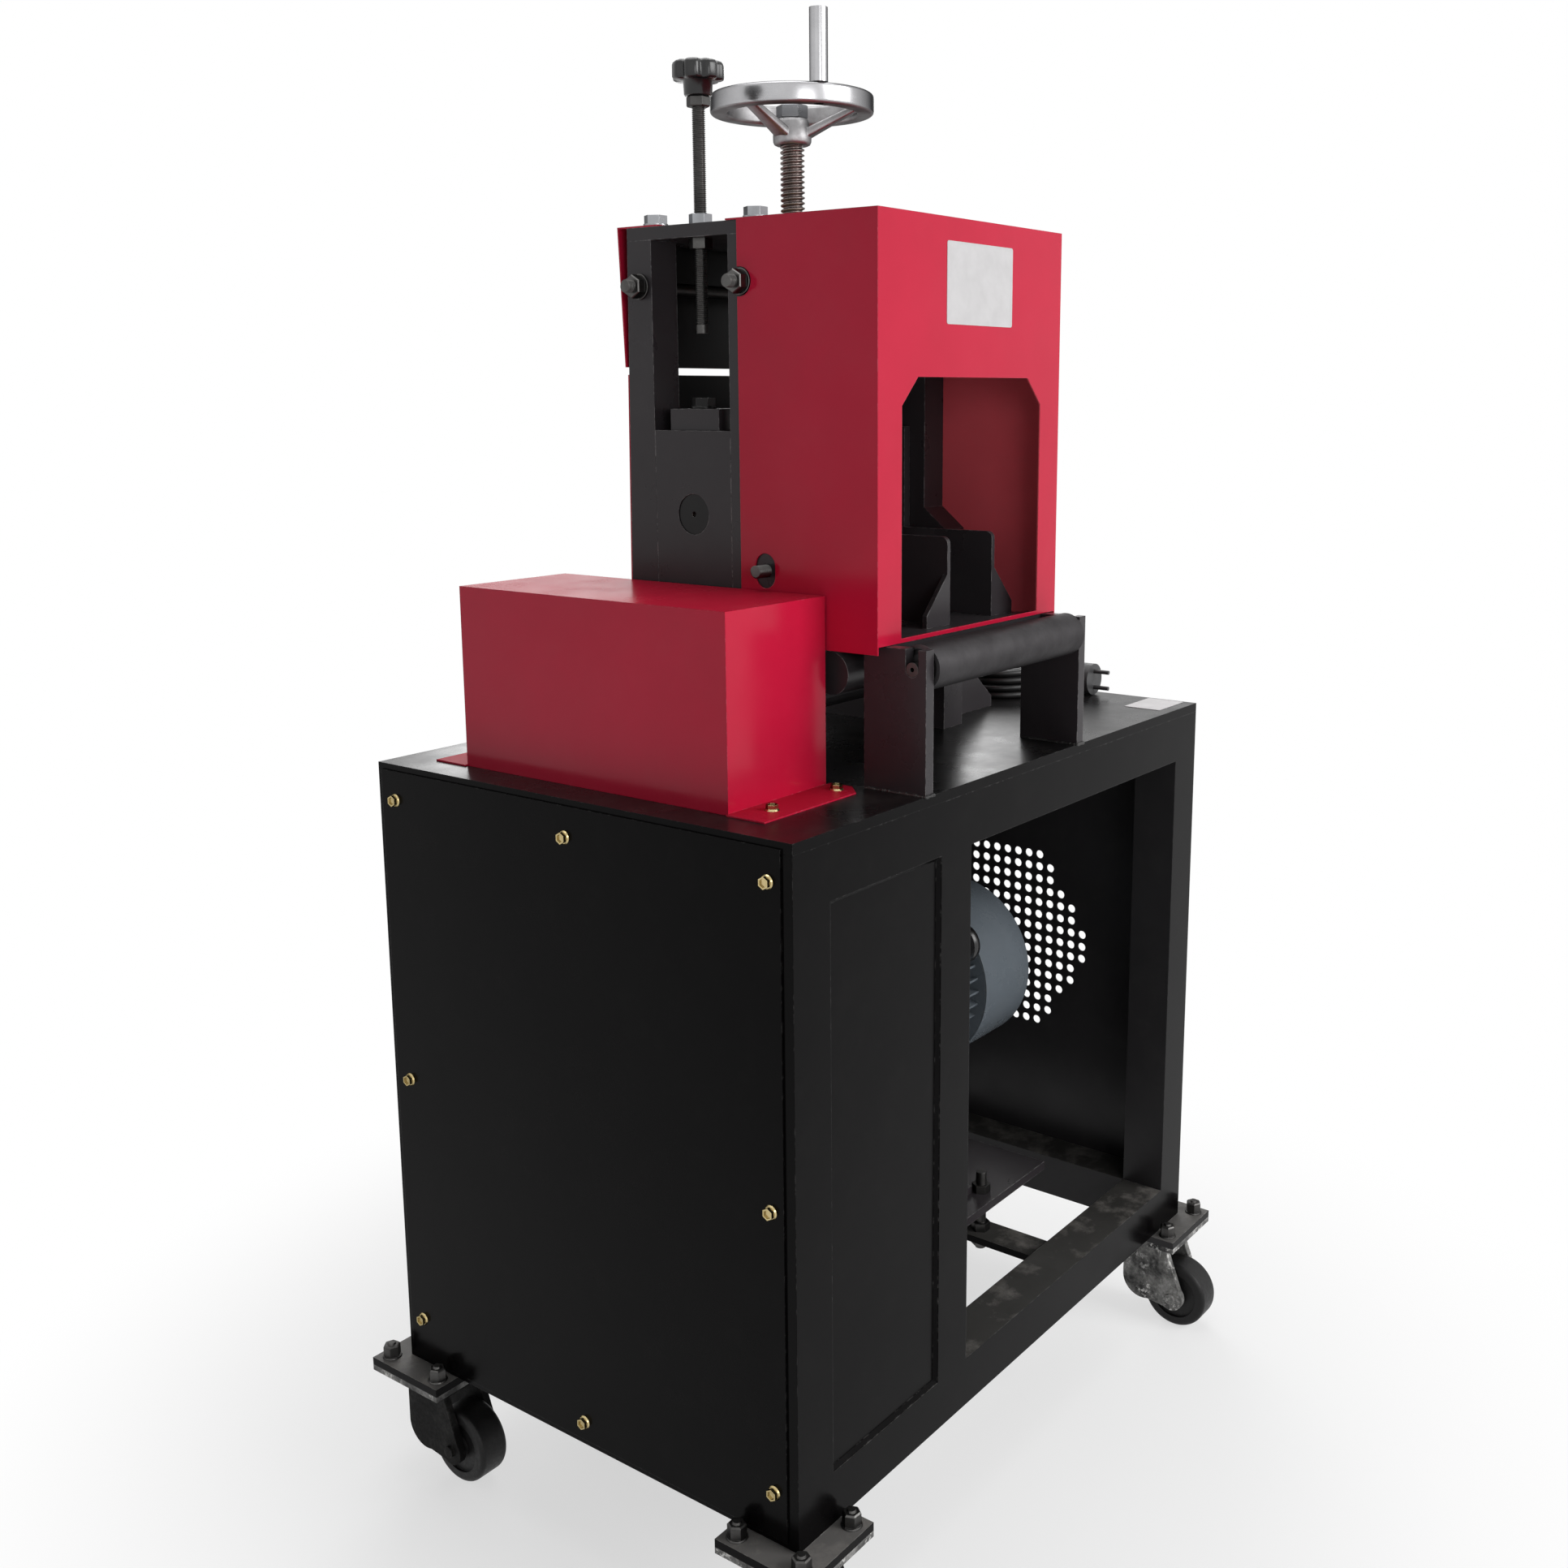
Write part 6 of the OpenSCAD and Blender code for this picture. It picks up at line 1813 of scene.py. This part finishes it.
    def build(self, nodes: dict[str, bpy.types.Object]) -> bpy.types.Object:
        """Makes all the screws as one piece.

        Args:
            nodes: The frame's nodes by name.

        Returns:
            The piece that stands for the CAD screws.
        """
        places, facings = self.seats(nodes["zinc_screws"].data)
        seats = bpy.data.meshes.new("screw_seats")
        seats.from_pydata(places, [], [])
        column = seats.attributes.new("facing", "FLOAT_VECTOR", "POINT")
        column.data.foreach_set("vector", [value for facing in facings for value in facing])
        values = {"Flange radius": self.flange_r, "Flange height": self.flange_h, "Head radius": self.head_r,
                  "Head height": self.head_h, "Dish depth": self.dish, "Dish share": self.dish_share}
        screws = self.tree().bake("flange_screws", seats, values, Matrix.Identity(4))
        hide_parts("zinc_screws")
        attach(screws, Body.CABINET.value)
        log.info("flange_screws: %d", len(places))
        return screws


@dataclass
class CasterNuts:
    """Tall nuts with washers on the casters' bolts, made by a node tree."""

    finishes: Finishes
    bolt_edge: float = 14 * MM
    bolt_pitch: float = 72 * MM
    pad: float = 8 * MM
    washer_r: float = 10 * MM
    washer_h: float = 1.6 * MM
    nut_r: float = 8.9 * MM
    nut_h: float = 10.5 * MM
    chamfer: float = 1.6 * MM
    end_r: float = 4.4 * MM
    end_h: float = 1.8 * MM
    seed: int = 5

    def tree(self) -> NodeTree:
        """Builds the tree that stacks washer, nut and bolt end on each seat.

        Returns:
            The tree.
        """
        t = NodeTree("caster_nuts")
        for name in ("Washer radius", "Washer height", "Nut radius", "Nut height", "Chamfer", "End radius",
                     "End height"):
            t.number(name)
        t.number("Seed", "NodeSocketInt")
        stack = t.add("GeometryNodeJoinGeometry")
        height = 0.0
        # Each tier's part, sides, height and the share of its radius that is left at its top
        tiers = (("Washer", 24, "Washer height", 0.94), ("Nut", 6, "Nut height", 1.0), ("Nut", 6, "Chamfer", 0.84),
                 ("End", 14, "End height", 0.82))
        for part, sides, depth, narrow in tiers:
            cone = t.add("GeometryNodeMeshCone")
            cone.inputs["Vertices"].default_value = sides
            t.link(t.value(f"{part} radius"), cone.inputs["Radius Bottom"])
            t.link(t.math("MULTIPLY", t.value(f"{part} radius"), narrow), cone.inputs["Radius Top"])
            t.link(t.value(depth), cone.inputs["Depth"])
            rise = t.add("ShaderNodeCombineXYZ")
            lift = t.add("GeometryNodeTransform")
            if height:
                t.link(height, rise.inputs["Z"])
            t.link(cone.outputs["Mesh"], lift.inputs["Geometry"])
            t.link(rise.outputs[0], lift.inputs["Translation"])
            t.link(lift.outputs["Geometry"], stack.inputs["Geometry"])
            height = t.math("ADD", height, t.value(depth))
        turn = t.add("FunctionNodeRandomValue", data_type="FLOAT_VECTOR")
        turn.inputs["Max"].default_value = (0.0, 0.0, math.pi / 3)
        t.link(t.value("Seed"), turn.inputs["Seed"])
        points = t.add("GeometryNodeMeshToPoints")
        t.link(t.group_in.outputs["Geometry"], points.inputs["Mesh"])
        put = t.add("GeometryNodeInstanceOnPoints")
        t.link(points.outputs["Points"], put.inputs["Points"])
        t.link(stack.outputs["Geometry"], put.inputs["Instance"])
        t.link(turn.outputs["Value"], put.inputs["Rotation"])
        t.finish(put.outputs["Instances"], self.finishes.get(DARK_STEEL))
        return t

    def build(self) -> bpy.types.Object:
        """Makes the nuts of all four casters as one piece.

        Returns:
            The piece.
        """
        low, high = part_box("caster_plates")
        inner = self.bolt_edge + self.bolt_pitch
        columns = (low.x + self.bolt_edge, low.x + inner, high.x - inner, high.x - self.bolt_edge)
        rows = (low.y + self.bolt_edge, low.y + inner, high.y - inner, high.y - self.bolt_edge)
        seats = bpy.data.meshes.new("nut_seats")
        seats.from_pydata([(x, y, high.z + self.pad) for x in columns for y in rows], [], [])
        values = {"Washer radius": self.washer_r, "Washer height": self.washer_h, "Nut radius": self.nut_r,
                  "Nut height": self.nut_h, "Chamfer": self.chamfer, "End radius": self.end_r,
                  "End height": self.end_h, "Seed": self.seed}
        nuts = self.tree().bake("caster_nuts", seats, values, Matrix.Identity(4))
        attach(nuts, Body.CABINET.value)
        log.info("caster_nuts: %d", len(columns) * len(rows))
        return nuts


@dataclass
class BlankPlates:
    """Bare film plates: one on the hood's front and one on the table."""

    finishes: Finishes
    hood_x: tuple[float, float] = (-91 * MM, 22 * MM)
    hood_z: tuple[float, float] = (TABLE_TOP + 413 * MM, TABLE_TOP + 486 * MM)
    table_x: tuple[float, float] = (308 * MM, 371 * MM)
    table_y: tuple[float, float] = (-230 * MM, -186 * MM)
    thickness: float = 0.4 * MM
    corner: float = 2.5 * MM
    corner_steps: int = 6

    def plate(self, name: str, width: float, height: float, place: Matrix) -> bpy.types.Object:
        """Makes one plate whose back lies on a face.

        Args:
            name: Name of the piece.
            width: Its width.
            height: Its height.
            place: Frame of its back: X along the width, Y along the height, Z outward.

        Returns:
            The piece.
        """
        work = bmesh.new()
        outline = round_rectangle(width, height, self.corner, self.corner_steps)
        back = [work.verts.new((x, y, 0)) for x, y in outline]
        front = [work.verts.new((x, y, self.thickness)) for x, y in outline]
        skin_rings(work, [back, front])
        bmesh.ops.transform(work, matrix=place, verts=work.verts)
        piece = mesh_object(name, work, self.finishes.get(PLATE_FILM))
        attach(piece, Body.CABINET.value)
        return piece

    def build(self) -> None:
        """Makes both plates."""
        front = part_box("hood")[0].y
        middle = Vector((sum(self.hood_x) / 2, front, sum(self.hood_z) / 2))
        upright = Matrix.Translation(middle) @ Matrix.Rotation(math.radians(90), 4, "X")
        self.plate("hood_plate", self.hood_x[1] - self.hood_x[0], self.hood_z[1] - self.hood_z[0], upright)
        flat = Matrix.Translation((sum(self.table_x) / 2, sum(self.table_y) / 2, TABLE_TOP))
        self.plate("table_plate_blank", self.table_x[1] - self.table_x[0], self.table_y[1] - self.table_y[0], flat)
        log.info("blank plates")


@dataclass
class PanelSeam:
    """Painted filler in the step around the closed bay's sheet."""

    finishes: Finishes
    width: float = 4 * MM
    gap: float = 0.2 * MM
    depth: float = 3.6 * MM

    def build(self) -> bpy.types.Object:
        """Makes the ring of filler.

        Returns:
            The piece.
        """
        low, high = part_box("front_panel")
        front = low.y - self.depth
        corners = ((low.x, low.z, -1, -1), (high.x, low.z, 1, -1), (high.x, high.z, 1, 1), (low.x, high.z, -1, 1))
        work = bmesh.new()
        rings = []
        for x, z, sx, sz in corners:
            outer_x, outer_z = x + sx * self.gap, z + sz * self.gap
            inner_x, inner_z = x - sx * self.width, z - sz * self.width
            profile = ((outer_x, low.y, outer_z), (outer_x, front, outer_z), (inner_x, low.y, inner_z))
            rings.append([work.verts.new(point) for point in profile])
        for here, there in zip(rings, rings[1:] + rings[:1]):
            close_loops(work, here, there)
        bmesh.ops.recalc_face_normals(work, faces=work.faces)
        piece = mesh_object("panel_seam", work, self.finishes.get(BLACK_PAINT))
        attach(piece, Body.CABINET.value)
        log.info("panel_seam")
        return piece


@dataclass
class Welds:
    """Weld beads along the feet of the roller brackets, made by a node tree."""

    finishes: Finishes
    bead_r: float = 2.3 * MM
    spacing: float = 2.2 * MM
    bead_detail: int = 2
    least_scale: Triple = (0.75, 0.75, 0.6)
    most_scale: Triple = (1.15, 1.15, 1.0)
    plate: float = 12 * MM
    inset: float = 3 * MM
    seed: int = 7

    def seams(self) -> list[tuple[Vector, Vector]]:
        """Finds where the beads run.

        Returns:
            Start and end of each bead.
        """
        found: list[tuple[Vector, Vector]] = []
        low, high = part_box("roller_brackets")
        front, back = low.y + self.inset, high.y - self.inset
        for x in (low.x, low.x + self.plate, high.x - self.plate, high.x):
            found.append((Vector((x, front, TABLE_TOP)), Vector((x, back, TABLE_TOP))))
        for x in (low.x, high.x - self.plate):
            found.append((Vector((x, low.y, TABLE_TOP)), Vector((x + self.plate, low.y, TABLE_TOP))))
        return found

    def tree(self) -> NodeTree:
        """Builds the tree that strings beads along the seams.

        Returns:
            The tree.
        """
        t = NodeTree("weld_beads")
        t.number("Bead radius")
        t.number("Spacing")
        t.number("Seed", "NodeSocketInt")
        curve = t.add("GeometryNodeMeshToCurve")
        t.link(t.group_in.outputs["Geometry"], curve.inputs["Mesh"])
        points = t.add("GeometryNodeCurveToPoints", mode="LENGTH")
        t.link(curve.outputs["Curve"], points.inputs["Curve"])
        t.link(t.value("Spacing"), points.inputs["Length"])
        bead = t.add("GeometryNodeMeshIcoSphere")
        bead.inputs["Subdivisions"].default_value = self.bead_detail
        t.link(t.value("Bead radius"), bead.inputs["Radius"])
        size = t.add("FunctionNodeRandomValue", data_type="FLOAT_VECTOR")
        size.inputs["Min"].default_value = self.least_scale
        size.inputs["Max"].default_value = self.most_scale
        t.link(t.value("Seed"), size.inputs["Seed"])
        string = t.add("GeometryNodeInstanceOnPoints")
        t.link(points.outputs["Points"], string.inputs["Points"])
        t.link(bead.outputs["Mesh"], string.inputs["Instance"])
        t.link(size.outputs["Value"], string.inputs["Scale"])
        t.finish(string.outputs["Instances"], self.finishes.get(WELD_STEEL))
        return t

    def build(self) -> bpy.types.Object:
        """Makes every bead as one piece.

        Returns:
            The piece.
        """
        lines = bpy.data.meshes.new("weld_lines")
        ends = [point for seam in self.seams() for point in seam]
        pairs = [(i, i + 1) for i in range(0, len(ends), 2)]
        lines.from_pydata(ends, pairs, [])
        values = {"Bead radius": self.bead_r, "Spacing": self.spacing, "Seed": self.seed}
        beads = self.tree().bake("weld_beads", lines, values, Matrix.Identity(4))
        for face in beads.data.polygons:
            face.use_smooth = True
        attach(beads, Body.CABINET.value)
        log.info("weld_beads: %d seams", len(pairs))
        return beads


def main() -> None:
    """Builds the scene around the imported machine."""
    logging.basicConfig(level=logging.INFO, format="%(message)s")
    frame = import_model()
    finishes = Finishes()
    Camera().build()
    PowerCord(finishes).build(frame["nodes"])
    Studio().build()
    finishes.dress_nodes(frame["nodes"])
    ScrewGear(finishes).build()
    TieRods(finishes).build()
    Handwheel(finishes).build()
    StarKnob(finishes).build()
    MotorCapacitor(finishes).build()
    FlangeScrews(finishes).build(frame["nodes"])
    CasterNuts(finishes).build()
    BlankPlates(finishes).build()
    PanelSeam(finishes).build()
    Welds(finishes).build()
    log.info("pieces dressed: %d", len(frame["nodes"]))


if __name__ == "__main__":
    main()
